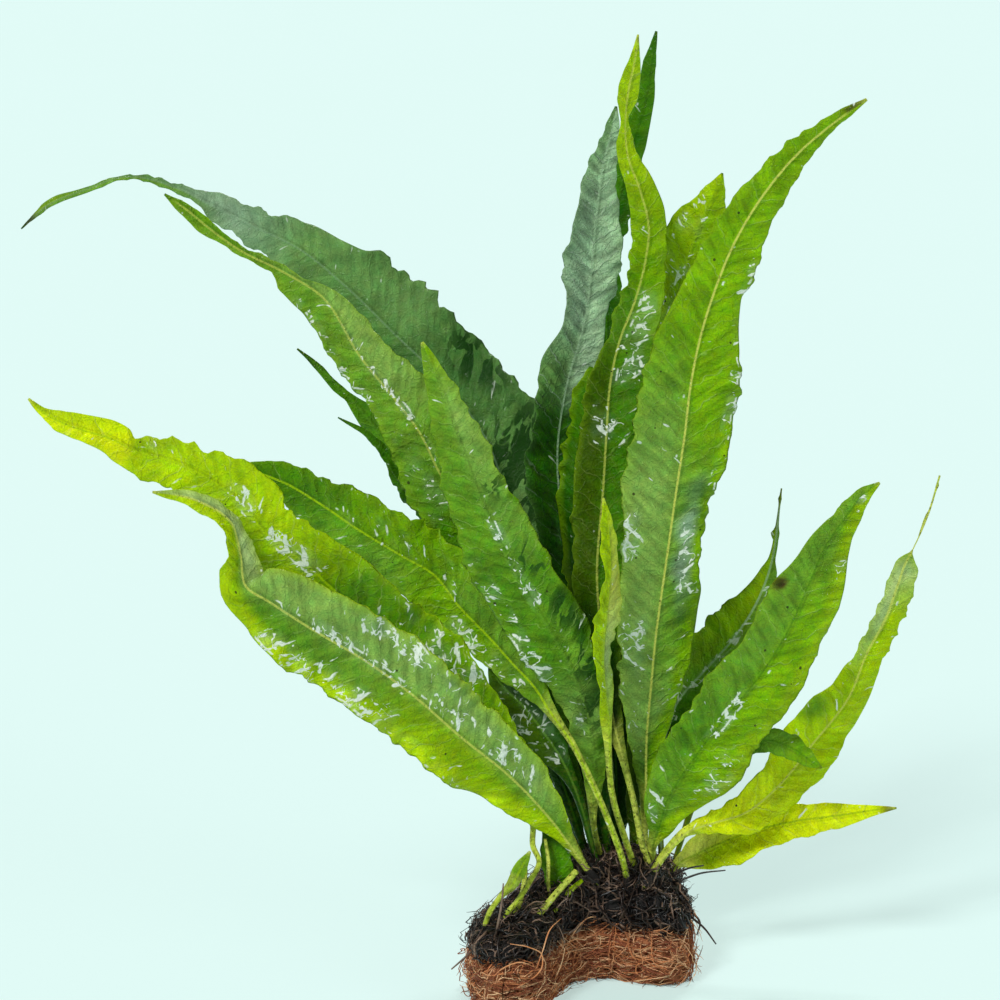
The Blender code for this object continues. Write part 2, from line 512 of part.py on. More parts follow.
def main():
    for thing in list(bpy.data.objects):
        bpy.data.objects.remove(thing)
    scene = bpy.context.scene.collection
    plant = bpy.data.collections.new("java_fern")
    joined = bpy.data.collections.new("joined_to_clump")
    sockets = bpy.data.collections.new("stalk_sockets")
    for collection in (plant, joined, sockets):
        scene.children.link(collection)
    materials = make_materials()

    make_pad(plant, materials["coir"])
    clump = make_clump_body(plant, materials["black_root"])
    mark_cutter(make_rhizome(joined))
    for i, points in enumerate(LOOSE_ROOTS):
        mark_cutter(tube(f"loose_root_{i + 1}", points, ROOT_RADIUS, joined))
    groups = ((LARGE_FRONDS, RING_GAP), (SMALL_FRONDS, SMALL_RING_GAP))
    number = 0
    for group, gap in groups:
        for name, rows in group.items():
            number += 1
            route = seated(rows)
            phase = 1.3 * number
            halves = UNEVEN_HALVES.get(name, ((0, 1, 1),))
            loft(name, frond_sections(route, gap, phase, halves=halves), plant, materials[material_for(name)])
            socket(route, gap, phase, f"socket_{name}", sockets)
    boolean(clump, "UNION", joined)
    boolean(clump, "DIFFERENCE", sockets)


main()
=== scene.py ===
# Java fern on a coir pad: long wet strap leaves, thin speckled stalks, a matted black root clump and its pad
import math
import bpy
import numpy as np
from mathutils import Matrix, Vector


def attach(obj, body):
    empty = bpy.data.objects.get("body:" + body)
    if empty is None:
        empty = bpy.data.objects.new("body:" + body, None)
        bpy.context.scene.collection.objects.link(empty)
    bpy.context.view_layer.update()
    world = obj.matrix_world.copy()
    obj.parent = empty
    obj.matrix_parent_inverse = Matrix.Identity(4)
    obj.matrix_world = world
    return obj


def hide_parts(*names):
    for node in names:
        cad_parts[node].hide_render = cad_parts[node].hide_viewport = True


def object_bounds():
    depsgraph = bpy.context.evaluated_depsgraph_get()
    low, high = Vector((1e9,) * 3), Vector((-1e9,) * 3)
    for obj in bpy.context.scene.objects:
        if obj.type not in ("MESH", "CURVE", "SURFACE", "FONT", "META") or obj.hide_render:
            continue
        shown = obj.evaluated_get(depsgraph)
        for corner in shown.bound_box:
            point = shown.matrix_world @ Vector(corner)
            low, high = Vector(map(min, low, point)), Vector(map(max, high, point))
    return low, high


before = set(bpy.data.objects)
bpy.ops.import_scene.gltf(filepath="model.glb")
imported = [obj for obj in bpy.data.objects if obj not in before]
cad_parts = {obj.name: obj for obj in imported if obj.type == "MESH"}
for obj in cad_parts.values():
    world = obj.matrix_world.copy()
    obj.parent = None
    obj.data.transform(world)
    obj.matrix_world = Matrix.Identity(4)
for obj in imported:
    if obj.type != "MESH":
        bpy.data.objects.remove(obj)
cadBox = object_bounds()
print("frame loaded:", len(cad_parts), "solids")

mm = 0.001             # lengths below are millimetres, Blender's are metres
boxMargin = 0.02       # everything shown stays this far inside the solids' box


def srgb(code):
    # hex colour as screens show it, turned linear
    parts = [int(code[k:k + 2], 16) / 255 for k in (1, 3, 5)]
    return np.array([c / 12.92 if c <= 0.04045 else ((c + 0.055) / 1.055) ** 2.4 for c in parts])


def rgba(code):
    return (*srgb(code), 1.0)


def addNode(tree, kind, settings=None, inputs=()):
    # one node with its settings, its values and its links. Inputs are a list from the top, or picked by key.
    # A node among them stands for its first output
    node = tree.nodes.new(kind)
    for key, value in (settings or {}).items():
        setattr(node, key, value)
    for key, value in inputs.items() if isinstance(inputs, dict) else enumerate(inputs):
        if isinstance(value, bpy.types.Node):
            value = value.outputs[0]
        if isinstance(value, bpy.types.NodeSocket):
            tree.links.new(value, node.inputs[key])
        else:
            node.inputs[key].default_value = value
    return node


def newMaterial(name):
    material = bpy.data.materials.new(name)
    material.use_nodes = True
    material.node_tree.nodes.clear()
    return material, material.node_tree


def addPiece(name, mesh):
    piece = bpy.data.objects.new(name, mesh)
    bpy.context.scene.collection.objects.link(piece)
    return piece


# Camera: a long lens, a little above the plant
view = {
    "elevation": 13.0,                # degrees above the horizon
    "distance": 1250.0,
    "mmPerPixel": 0.32,               # at that distance
    "pixels": 1000,                   # the frame's width
    "sensor": 36.0,
    "target": (-26.56, 0.0, 156.0),
}
# Studio: a pale room over a softly glowing table. The small strong key lamp makes the glints
studio = {
    "lamps": {                        # direction towards the lamp, width in degrees, strength
        "keyLamp": ((-0.45, -0.6, 0.75), 14.0, 2.05),
        "fillLamp": ((0.8, -0.55, 0.35), 30.0, 0.45),
        "topLamp": ((0.15, 0.75, 0.9), 14.0, 1.8),
    },
    "sky": "#eaf6f5",
    "skyStrength": 0.22,
    "table": ("#e1faf6", "#e0f9f4"),  # its glow, faintly clouded
    "tableBase": "#95a6a3",
    "tableGlow": 0.55,                # the rest of the table's brightness comes from the lamps
    "tableReach": 14.0,               # metres from the middle to an edge, past the frame in every view
    "tableDrop": 0.2,                 # mm under the pad, so that the two faces don't flicker
}


def makeCamera():
    data = bpy.data.cameras.new("photoCamera")
    data.sensor_width = view["sensor"]
    data.lens = view["sensor"] / (view["pixels"] * view["mmPerPixel"]) * view["distance"]
    camera = bpy.data.objects.new("photoCamera", data)
    tilt = math.radians(view["elevation"])
    away = Vector((0, -math.cos(tilt), math.sin(tilt))) * view["distance"]
    camera.location = (Vector(view["target"]) + away) * mm
    camera.rotation_euler = (math.pi / 2 - tilt, 0, 0)
    bpy.context.scene.collection.objects.link(camera)
    bpy.context.scene.camera = camera


def makeStudio():
    for name, (towards, width, strength) in studio["lamps"].items():
        data = bpy.data.lights.new(name, "SUN")
        data.angle = math.radians(width)
        data.energy = strength
        light = bpy.data.objects.new(name, data)
        light.rotation_euler = Vector(towards).to_track_quat("Z", "Y").to_euler()
        bpy.context.scene.collection.objects.link(light)
    world = bpy.data.worlds.new("paleRoom")
    world.use_nodes = True
    sky = world.node_tree.nodes["Background"]
    sky.inputs["Color"].default_value = rgba(studio["sky"])
    sky.inputs["Strength"].default_value = studio["skyStrength"]
    bpy.context.scene.world = world
    bpy.context.scene.view_settings.view_transform = "Standard"
    # opal acrylic table, lit from below: an even pale ground with only a faint soft shadow
    material, tree = newMaterial("opalTable")
    coords = addNode(tree, "ShaderNodeTexCoord").outputs["Object"]
    cloud = addNode(tree, "ShaderNodeTexNoise", None, {"Vector": coords, "Scale": 3.0})
    tint = addNode(tree, "ShaderNodeMix", {"data_type": "RGBA"},
                   {0: cloud, 6: rgba(studio["table"][0]), 7: rgba(studio["table"][1])}).outputs[2]
    shader = addNode(tree, "ShaderNodeBsdfPrincipled", None,
                     {"Base Color": rgba(studio["tableBase"]), "Roughness": 0.9, "Specular IOR Level": 0.05,
                      "Emission Color": tint, "Emission Strength": studio["tableGlow"]})
    addNode(tree, "ShaderNodeOutputMaterial", None, {"Surface": shader})
    mesh = bpy.data.meshes.new("floor")
    reach = studio["tableReach"]
    corners = [(-reach, -reach, 0), (reach, -reach, 0), (reach, reach, 0), (-reach, reach, 0)]
    mesh.from_pydata(corners, [], [(0, 1, 2, 3)])
    mesh.materials.append(material)
    floor = addPiece("floor", mesh)
    floor.location.z = -studio["tableDrop"] * mm


makeCamera()
makeStudio()
print("camera, lamps and floor ready")


def smoothRows(rows, perSpan=12):
    # points on a smooth curve through the rows, whose first three columns are x, y and z
    rows = np.array(rows, float)
    at = np.concatenate([[0], np.cumsum(np.linalg.norm(np.diff(rows[:, :3], axis=0), axis=1))])
    slopes = np.gradient(rows, at, axis=0)
    out = []
    for i in range(len(rows) - 1):
        span = at[i + 1] - at[i]
        for t in np.linspace(0, 1, perSpan, endpoint=False):
            out.append((2 * t**3 - 3 * t**2 + 1) * rows[i] + (t**3 - 2 * t**2 + t) * span * slopes[i]
                       + (3 * t**2 - 2 * t**3) * rows[i + 1] + (t**3 - t**2) * span * slopes[i + 1])
    out.append(rows[-1])
    return np.array(out)


def evenRows(rows, gap):
    # the same curve read at even steps, and how far along it each step is
    dense = smoothRows(rows)
    at = np.concatenate([[0], np.cumsum(np.linalg.norm(np.diff(dense[:, :3], axis=0), axis=1))])
    places = np.linspace(0, at[-1], max(6, round(at[-1] / gap) + 1))
    return places, np.stack([np.interp(places, at, dense[:, k]) for k in range(dense.shape[1])], axis=1)


def unit(vectors):
    return vectors / np.maximum(np.linalg.norm(vectors, axis=-1, keepdims=True), 1e-9)


def ease(low, high, value):
    t = np.clip((value - low) / (high - low), 0, 1)
    return t * t * (3 - 2 * t)


def routeAxes(points, turn):
    # across and outward directions at each point of a route, turned by so many degrees from facing the front
    ahead = np.concatenate([points[1:], points[-1:]])
    behind = np.concatenate([points[:1], points[:-1]])
    along = unit(ahead - behind)
    front = np.array([0.0, -1.0, 0.0])
    out = unit(front - along * (along @ front)[:, None])
    across = np.cross(along, out)
    turn = np.radians(turn)[:, None]
    return across * np.cos(turn) - out * np.sin(turn), out * np.cos(turn) + across * np.sin(turn)


def insideBox(points):
    # no detail stands outside the object's own box
    low, high = (np.array(corner) / mm for corner in cadBox)
    return np.clip(points, low + boxMargin, high - boxMargin)


def ringMesh(name, rings):
    # closed skin through rings of points, facing outwards
    many, count = rings.shape[:2]
    grid = np.arange(many * count).reshape(many, count)
    after = np.roll(grid, -1, axis=1)
    quads = np.stack([grid[:-1], after[:-1], after[1:], grid[1:]], -1).reshape(-1, 4)
    ends = [grid[0][::-1], grid[-1]]
    v = insideBox(rings.reshape(-1, 3))
    a, b, c = v[quads[:, 0]], v[quads[:, 1]], v[quads[:, 2]]
    if (np.cross(b - a, c - a) * (a - v.mean(0))).sum() < 0:
        quads = quads[:, ::-1]
        ends = [end[::-1] for end in ends]
    mesh = bpy.data.meshes.new(name)
    mesh.from_pydata((v * mm).tolist(), [], quads.tolist() + [end.tolist() for end in ends])
    mesh.shade_smooth()
    return mesh


# Greens of the leaves as seen, from young and lit to old and shaded, so the tones carry painted light and
# shade:
# night and bottle are partly the leaves' own dark green and partly painted shade, at the leaves' feet where
# they crowd and on leaves behind others; sheen, silver and ash are the grey-green of painted sheen on the wet
# face
greens = {
    "lemon": "#dcea0e", "lime": "#adcf0c", "apple": "#8fb412", "fresh": "#78a808", "grass": "#6d9a30",
    "meadow": "#84a850", "leaf": "#5a8c22", "deep": "#447a06", "bottle": "#2a5c08", "blue": "#4c7838",
    "sheen": "#6a9250", "silver": "#a6c49c", "olive": "#42600c", "night": "#0a2e03", "brown": "#5a4a1c",
    "umber": "#2c1a12", "straw": "#d2d860", "stem": "#bfcc58", "ash": "#8ba786", "darkStem": "#6d7c20",
    "pale": "#a8c07a",
}

# Fern leaf: thin living tissue under a waxy, wet skin. The eye gets a deep green with pale veins and a pale
# midrib, dark specks, and bright broken glints where water stands on the quilted face, painted highlights
# laid into the base colour
leafSkins = {
    "wetGreenLeaf": {"rough": 0.4, "vein": 0.36, "veinTone": "#a9cf66", "net": 0.05, "streaks": 0.27,
                     "speck": 0.85, "bump": 0.9, "glint": 0.92, "mottle": 0.2, "blotchTone": "#1f4a10"},
    "darkWetLeaf": {"rough": 0.4, "vein": 0.16, "veinTone": "#7fa86c", "net": 0.04, "streaks": 0.22,
                    "speck": 0.5, "bump": 0.7, "glint": 0.6, "mottle": 0.22, "blotchTone": "#103a08"},
    "silverSheenLeaf": {"rough": 0.45, "vein": 0.4, "veinTone": "#b9cbb6", "net": 0.04, "streaks": 0.5,
                        "speck": 0.3, "bump": 1.0, "glint": 0.5, "mottle": 0.2, "blotchTone": "#12400a"},
    "youngYellowLeaf": {"rough": 0.4, "vein": 0.24, "veinTone": "#dbe88a", "net": 0.05, "streaks": 0.22,
                        "speck": 1.0, "bump": 0.8, "glint": 0.9, "mottle": 0.16, "blotchTone": "#5c8a0c"},
}


# Patterns on a leaf, in its own millimetres: cells to a millimetre (0.1 is a pattern of 10 mm), detail and
# distortion
leafPatterns = {
    "mottle": (0.1, 3.0, 0.6), "grain": (1.9, 2.0, 0.0), "hue": (0.33, 2.0, 0.0),
    "netPatch": (0.07, 1.0, 0.0),
    "bend": (0.25, 1.0, 0.0),        # lets the net, the side veins and the glints between them wander
    "scuff": (0.5, 3.0, 0.0), "fine": (1.3, 3.0, 0.0),
    # patches that gate the painted glints and the painted sheen, and the film's waves for relief, roughness
    # and painted glint curls
    "wetPatch": (0.06, 2.0, 0.0), "sheenPatch": (0.12, 2.0, 0.0), "film": (0.17, 2.0, 0.5),
    "curlSize": (0.5, 1.0, 0.0), "curlPatch": (0.35, 1.0, 0.0),
}
# Patterns drawn out one way: what they follow, cells to a millimetre along and across it (for the midrib,
# across and along), whether the two halves differ, detail and distortion
drawnPatterns = {
    "streaks": ("vein", 0.09, 0.42, True, 2.0, 0.3), "blotch": ("vein", 0.1, 0.22, True, 2.0, 1.0),
    "reach": ("vein", 0.17, 0.5, True, 2.5, 0.6), "bead": ("midrib", 0.12, 0.26, True, 1.5, 0.3),
    "dash": ("midrib", 1.7, 0.8, False, 2.0, 0.2),
}
veinSweep = (0.77, 0.64)             # cosine and sine of 40 degrees, the side veins' lean


def leafMaterial(name, look):
    material, tree = newMaterial(name)
    blade = addNode(tree, "ShaderNodeUVMap", {"uv_map": "bladeMm"})
    u, v, _ = addNode(tree, "ShaderNodeSeparateXYZ", None, [blade]).outputs
    own = {key: addNode(tree, "ShaderNodeAttribute", {"attribute_name": key}).outputs
           for key in ("leafTone", "ribTone", "marginTone", "toMargin", "stalkShare", "wetShare",
                       "blotchShare")}
    toMargin, onStalk = own["toMargin"]["Fac"], own["stalkShare"]["Fac"]

    # u runs across from the midrib, v along it. Side veins sweep forward, so the streaks follow them
    fromRib = addNode(tree, "ShaderNodeMath", {"operation": "ABSOLUTE"}, [u])
    side = addNode(tree, "ShaderNodeMath", {"operation": "SIGN"}, [u])
    whichHalf = addNode(tree, "ShaderNodeMath", {"operation": "MULTIPLY"}, [side, 9.0])
    ways = {"midrib": [u, v], "vein": []}
    for operation, pair in (("ADD", (fromRib, v)), ("SUBTRACT", (v, fromRib))):
        parts = [addNode(tree, "ShaderNodeMath", {"operation": "MULTIPLY"}, row)
                 for row in zip(pair, veinSweep)]
        ways["vein"].append(addNode(tree, "ShaderNodeMath", {"operation": operation}, parts))
    acrossVein = ways["vein"][1]

    seen = {key: addNode(tree, "ShaderNodeTexNoise", None,
                         {"Vector": blade, "Scale": scale, "Detail": detail, "Distortion": distortion})
            for key, (scale, detail, distortion) in leafPatterns.items()}
    for key, (follows, first, second, halves, detail, distortion) in drawnPatterns.items():
        places = [addNode(tree, "ShaderNodeMath", {"operation": "MULTIPLY"}, row)
                  for row in zip(ways[follows], (first, second))]
        place = addNode(tree, "ShaderNodeCombineXYZ", None, [*places, whichHalf if halves else 0.0])
        seen[key] = addNode(tree, "ShaderNodeTexNoise", None,
                            {"Vector": place, "Scale": 1.0, "Detail": detail, "Distortion": distortion})
    # cells: the net of fine veins, about 4 mm and drawn a little wider than real so that it shows, then the
    # specks, and the drops of painted glint
    bent = addNode(tree, "ShaderNodeVectorMath", {"operation": "MULTIPLY_ADD"},
                   [seen["bend"].outputs["Color"], (3.0, 3.0, 0.0), blade])
    net = addNode(tree, "ShaderNodeTexVoronoi", {"feature": "DISTANCE_TO_EDGE"},
                  {"Vector": bent, "Scale": 0.3})
    specks = addNode(tree, "ShaderNodeTexVoronoi", None, {"Vector": blade, "Scale": 0.3}).outputs
    speckSeed = addNode(tree, "ShaderNodeSeparateColor", None, [specks["Color"]]).outputs
    dropGlints = addNode(tree, "ShaderNodeTexVoronoi", None, {"Vector": bent, "Scale": 0.55}).outputs
    dropGlintSeed = addNode(tree, "ShaderNodeSeparateColor", None, [dropGlints["Color"]]).outputs
    # wandering waves across the side veins: the veins themselves, every 7 mm, and the lanes of painted glints
    # between
    waves = {}
    for key, closeness, operation, *size in (("vein", 1.3, "PINGPONG", 4.5), ("lane", 1.25, "SINE")):
        row = addNode(tree, "ShaderNodeMath", {"operation": "MULTIPLY"}, [acrossVein, closeness])
        row = addNode(tree, "ShaderNodeMath", {"operation": "MULTIPLY_ADD"}, [seen["bend"], 5.0, row])
        waves[key] = addNode(tree, "ShaderNodeMath", {"operation": operation}, [row, *size])
    # how far it is to the groove beside the midrib, which gets painted shade, to the painted glint beads by
    # margin and midrib, and to the film's edge, where the painted glint curls lie
    away = {}
    for key, measure, middle in (("groove", u, 0.85), ("marginBeads", toMargin, 0.9),
                                 ("ribBeads", fromRib, 1.7), ("filmEdge", seen["film"], 0.5)):
        gap = addNode(tree, "ShaderNodeMath", {"operation": "SUBTRACT"}, [measure, middle])
        away[key] = addNode(tree, "ShaderNodeMath", {"operation": "ABSOLUTE"}, [gap])

    # shares: what is read, where the step starts and ends, and what it gives at either end
    steps = {
        "mottle": (seen["mottle"], 0.3, 0.7, 1 - look["mottle"], 1 + look["mottle"]),
        "streaks": (seen["streaks"], 0.3, 0.7, 1 - look["streaks"], 1 + look["streaks"]),
        "grain": (seen["grain"], 0.3, 0.7, 0.84, 1.16),
        "hue": (seen["hue"], 0.3, 0.7, 0.487, 0.512),
        "blotch": (seen["blotch"], 0.48, 0.51, 0.0, 0.9),
        "lit": (own["leafTone"]["Fac"], 0.01, 0.11, 0.12, 1.0),      # pale lines fade on dark tissue
        "netLine": (net, 0.01, 0.08, 1.0, 0.0),
        "netShow": (seen["netPatch"], 0.42, 0.6, 0.0, look["net"]),
        "veinLine": (waves["vein"], 0.1, 0.42, 1.0, 0.0),
        "veinShow": (seen["mottle"], 0.42, 0.6, look["vein"] * 0.25, look["vein"]),
        "grooveLine": (away["groove"], 0.15, 0.6, 0.22, 0.0),
        "offStalk": (onStalk, 0.0, 0.6, 1.0, 0.0),
        "ribLine": (fromRib, 0.22, 0.46, 1.0, 0.0),                  # 0.9 mm wide
        "marginBand": (toMargin, 0.0, 3.2, 0.5, 0.0),
        "marginLine": (toMargin, 0.1, 0.55, 1.0, 0.0),
        "speckSize": (speckSeed[1], 0.0, 1.0, 0.04, 0.15),
        "dash": (seen["dash"], 0.61, 0.67, 0.0, 0.85),
        "scuff": (seen["scuff"], 0.5, 0.62, 0.0, 0.6),
        "wetPatch": (seen["wetPatch"], 0.35, 0.6, 0.35, 1.0),
        "sheenPatch": (seen["sheenPatch"], 0.45, 0.62, 0.0, 0.34),
        "curlWidth": (seen["curlSize"], 0.42, 0.68, 0.004, 0.045),
        "dropSize": (dropGlintSeed[1], 0.0, 1.0, 0.1, 0.32),
        "rough": (seen["film"], 0.3, 0.7, look["rough"] - 0.1, look["rough"] + 0.1),
    }
    share = {key: addNode(tree, "ShaderNodeMapRange", None, row) for key, row in steps.items()}

    # dark specks: few on the blade, close together and drawn out to dashes on the stalk and midrib
    speckDot = addNode(tree, "ShaderNodeMath", {"operation": "LESS_THAN"},
                       [specks["Distance"], share["speckSize"]])
    speckFew = addNode(tree, "ShaderNodeMath", {"operation": "GREATER_THAN"}, [speckSeed[0], 0.86])
    speck = addNode(tree, "ShaderNodeMath", {"operation": "MULTIPLY"}, [speckDot, speckFew])
    onRib = addNode(tree, "ShaderNodeMath", {"operation": "MULTIPLY"}, [share["ribLine"], 0.7])
    dashWhere = addNode(tree, "ShaderNodeMath", {"operation": "MAXIMUM"}, [onStalk, onRib])
    dash = addNode(tree, "ShaderNodeMath", {"operation": "MULTIPLY"}, [share["dash"], dashWhere])
    speck = addNode(tree, "ShaderNodeMath", {"operation": "MAXIMUM"}, [speck, dash])

    # painted highlights of the water, laid into the base colour: a soft pale painted sheen, then painted
    # glints where the wet face bends to the light. These are bars between the side veins, broken curls, beads
    # along the margin and the midrib, and drops
    wet = addNode(tree, "ShaderNodeMath", {"operation": "MULTIPLY"},
                  [own["wetShare"]["Fac"], share["wetPatch"]])
    bar = addNode(tree, "ShaderNodeMath", {"operation": "MULTIPLY_ADD"}, [wet, 0.41, seen["reach"]])
    bar = addNode(tree, "ShaderNodeMath", {"operation": "MULTIPLY_ADD"}, [waves["lane"], 0.19, bar])
    curl = addNode(tree, "ShaderNodeMath", {"operation": "DIVIDE"}, [away["filmEdge"], share["curlWidth"]])
    curlWhere = addNode(tree, "ShaderNodeMath", {"operation": "ADD"}, [seen["curlPatch"], wet])
    bead = addNode(tree, "ShaderNodeMath", {"operation": "MULTIPLY_ADD"}, [wet, 0.42, seen["bead"]])
    beadWhere = addNode(tree, "ShaderNodeMath", {"operation": "MINIMUM"},
                        [away["marginBeads"], away["ribBeads"]])
    steps = {
        "sheenWet": (wet, 0.2, 0.7, 0.0, 0.7),
        "bar": (bar, 0.9, 0.97, 0.0, 0.95),
        "curl": (curl, 0.5, 1.0, 1.0, 0.0),
        "curlWhere": (curlWhere, 0.96, 1.02, 0.0, 1.0),
        "bead": (bead, 0.75, 0.79, 0.0, 0.85),
        "beadWhere": (beadWhere, 0.15, 0.45, 1.0, 0.0),
        "dropWet": (wet, 0.2, 0.5, 0.0, 1.0),
    }
    share.update({key: addNode(tree, "ShaderNodeMapRange", None, row) for key, row in steps.items()})
    curl = addNode(tree, "ShaderNodeMath", {"operation": "MULTIPLY"}, [share["curl"], share["curlWhere"]])
    bead = addNode(tree, "ShaderNodeMath", {"operation": "MULTIPLY"}, [share["bead"], share["beadWhere"]])
    dropSize = addNode(tree, "ShaderNodeMath", {"operation": "MULTIPLY"},
                       [share["dropSize"], share["dropWet"]])
    dropGlintDot = addNode(tree, "ShaderNodeMath", {"operation": "LESS_THAN"}, [dropGlints["Distance"], dropSize])
    dropGlintFew = addNode(tree, "ShaderNodeMath", {"operation": "GREATER_THAN"}, [dropGlintSeed[0], 0.8])
    dropGlint = addNode(tree, "ShaderNodeMath", {"operation": "MULTIPLY"}, [dropGlintDot, dropGlintFew])
    strokes = addNode(tree, "ShaderNodeMath", {"operation": "MAXIMUM"}, [share["bar"], curl])
    dots = addNode(tree, "ShaderNodeMath", {"operation": "MAXIMUM"}, [dropGlint, bead])
    paintedGlints = addNode(tree, "ShaderNodeMath", {"operation": "MAXIMUM"}, [strokes, dots])
    # the margin: a lit yellowish band 3 mm wide and a thin pale line, a painted highlight along the edge
    margin = addNode(tree, "ShaderNodeMath", {"operation": "MAXIMUM"},
                     [share["marginBand"], share["marginLine"]])

    # the tissue under the skin: mottled, streaked along the veins, grained, and drifting a little in hue
    light = share["mottle"]
    for factor in (share["streaks"], share["grain"]):
        light = addNode(tree, "ShaderNodeMath", {"operation": "MULTIPLY"}, [light, factor])
    tissue = addNode(tree, "ShaderNodeHueSaturation", None,
                     {"Hue": share["hue"], "Saturation": 1.04, "Value": light,
                      "Color": own["leafTone"]["Color"]})
    # what lies over it, from below: the shares that are multiplied, the colour, and how it is laid
    layers = [
        ([share["blotch"], own["blotchShare"]["Fac"]], rgba(look["blotchTone"]), "MIX"),
        ([share["netLine"], share["netShow"], share["lit"]], rgba(look["veinTone"]), "MIX"),
        ([share["veinLine"], share["veinShow"], share["lit"]], rgba(look["veinTone"]), "MIX"),
        # painted shade in the groove beside the midrib
        ([share["grooveLine"], share["offStalk"]], rgba("#56682e"), "MULTIPLY"),
        ([share["ribLine"], own["ribTone"]["Alpha"]], own["ribTone"]["Color"], "MIX"),
        ([margin, own["marginTone"]["Alpha"]], own["marginTone"]["Color"], "MIX"),
        ([share["scuff"], onStalk], rgba("#6b7422"), "MIX"),
        ([speck, look["speck"]], rgba("#2b2a10"), "MIX"),
        # painted sheen of the wet face
        ([share["sheenPatch"], share["sheenWet"]], rgba("#a3c39a"), "MIX"),
        # painted glints: the water's highlights laid in as near-white colour
        ([paintedGlints, look["glint"]], rgba("#eff6ea"), "MIX"),
    ]
    for (cover, *factors), tone, how in layers:
        for factor in factors:
            cover = addNode(tree, "ShaderNodeMath", {"operation": "MULTIPLY"}, [cover, factor])
        tissue = addNode(tree, "ShaderNodeMix", {"data_type": "RGBA", "blend_type": how},
                         {0: cover, 6: tissue, 7: tone}).outputs[2]

    # relief: fine grain under the net, the waves of the wet film, the pleats and the side veins
    relief = seen["fine"]
    for pattern, height in ((share["netLine"], 0.3), (seen["film"], 2.0), (seen["streaks"], 2.0),
                            (share["veinLine"], 0.4)):
        relief = addNode(tree, "ShaderNodeMath", {"operation": "MULTIPLY_ADD"}, [pattern, height, relief])
    bump = addNode(tree, "ShaderNodeBump", None,
                   {"Strength": look["bump"], "Distance": 0.6 * mm, "Height": relief})
    # the leaf's wax, and over it a film of water
    shader = addNode(tree, "ShaderNodeBsdfPrincipled", None,
                     {"Base Color": tissue, "Roughness": share["rough"], "IOR": 1.42,
                      "Specular IOR Level": 0.07, "Normal": bump,
                      "Coat Weight": 0.16, "Coat Roughness": 0.1, "Coat IOR": 1.33, "Coat Normal": bump})
    addNode(tree, "ShaderNodeOutputMaterial", None, {"Surface": shader})
    return material


skins = {name: leafMaterial(name, look) for name, look in leafSkins.items()}
print("leaf skins ready")

leafShape = {
    "stalkWidth": 2.6, "bladeFrom": 7.0,       # a leaf this wide is a full flat blade
    "stalkShare": 0.8,                         # the stalk's width under the solid's
    "thick": 0.6, "ribAbove": 0.35, "ribBelow": 0.8,
    "gutter": 0.05,                            # the halves rise from the midrib by this share of the width
    "swellLength": 34.0, "swellShare": 0.085, "swellMost": 2.2,
    "rippleLength": 10.5, "rippleHeight": 1.15, "edgePush": 0.95,
    "quiltLength": 7.0, "quiltHeight": 0.26,
    "fullRib": 14.0, "fullRipple": 18.0, "fullTeeth": 15.0,     # blades narrower than this have smaller ones
    "seat": 4.0,                               # the stalk's foot runs this deep into the clump
    "damp": 0.18,                              # how much painted glint and painted sheen a leaf has outside its wet bands
    "ringGap": 1.15,
    "patternStep": 37.0,                       # each leaf has its own stretch of the pattern, this far on
}
halfSteps = [0.045, 0.12, 0.22, 0.34, 0.46, 0.58, 0.69, 0.79, 0.88, 0.95, 1.0]
acrossSteps = np.array([-s for s in halfSteps[::-1]] + [0.0] + halfSteps)


def around(top, low):
    # values across the upper face, then back across the lower one
    return np.concatenate([top, low[:, -2:0:-1]], axis=1)


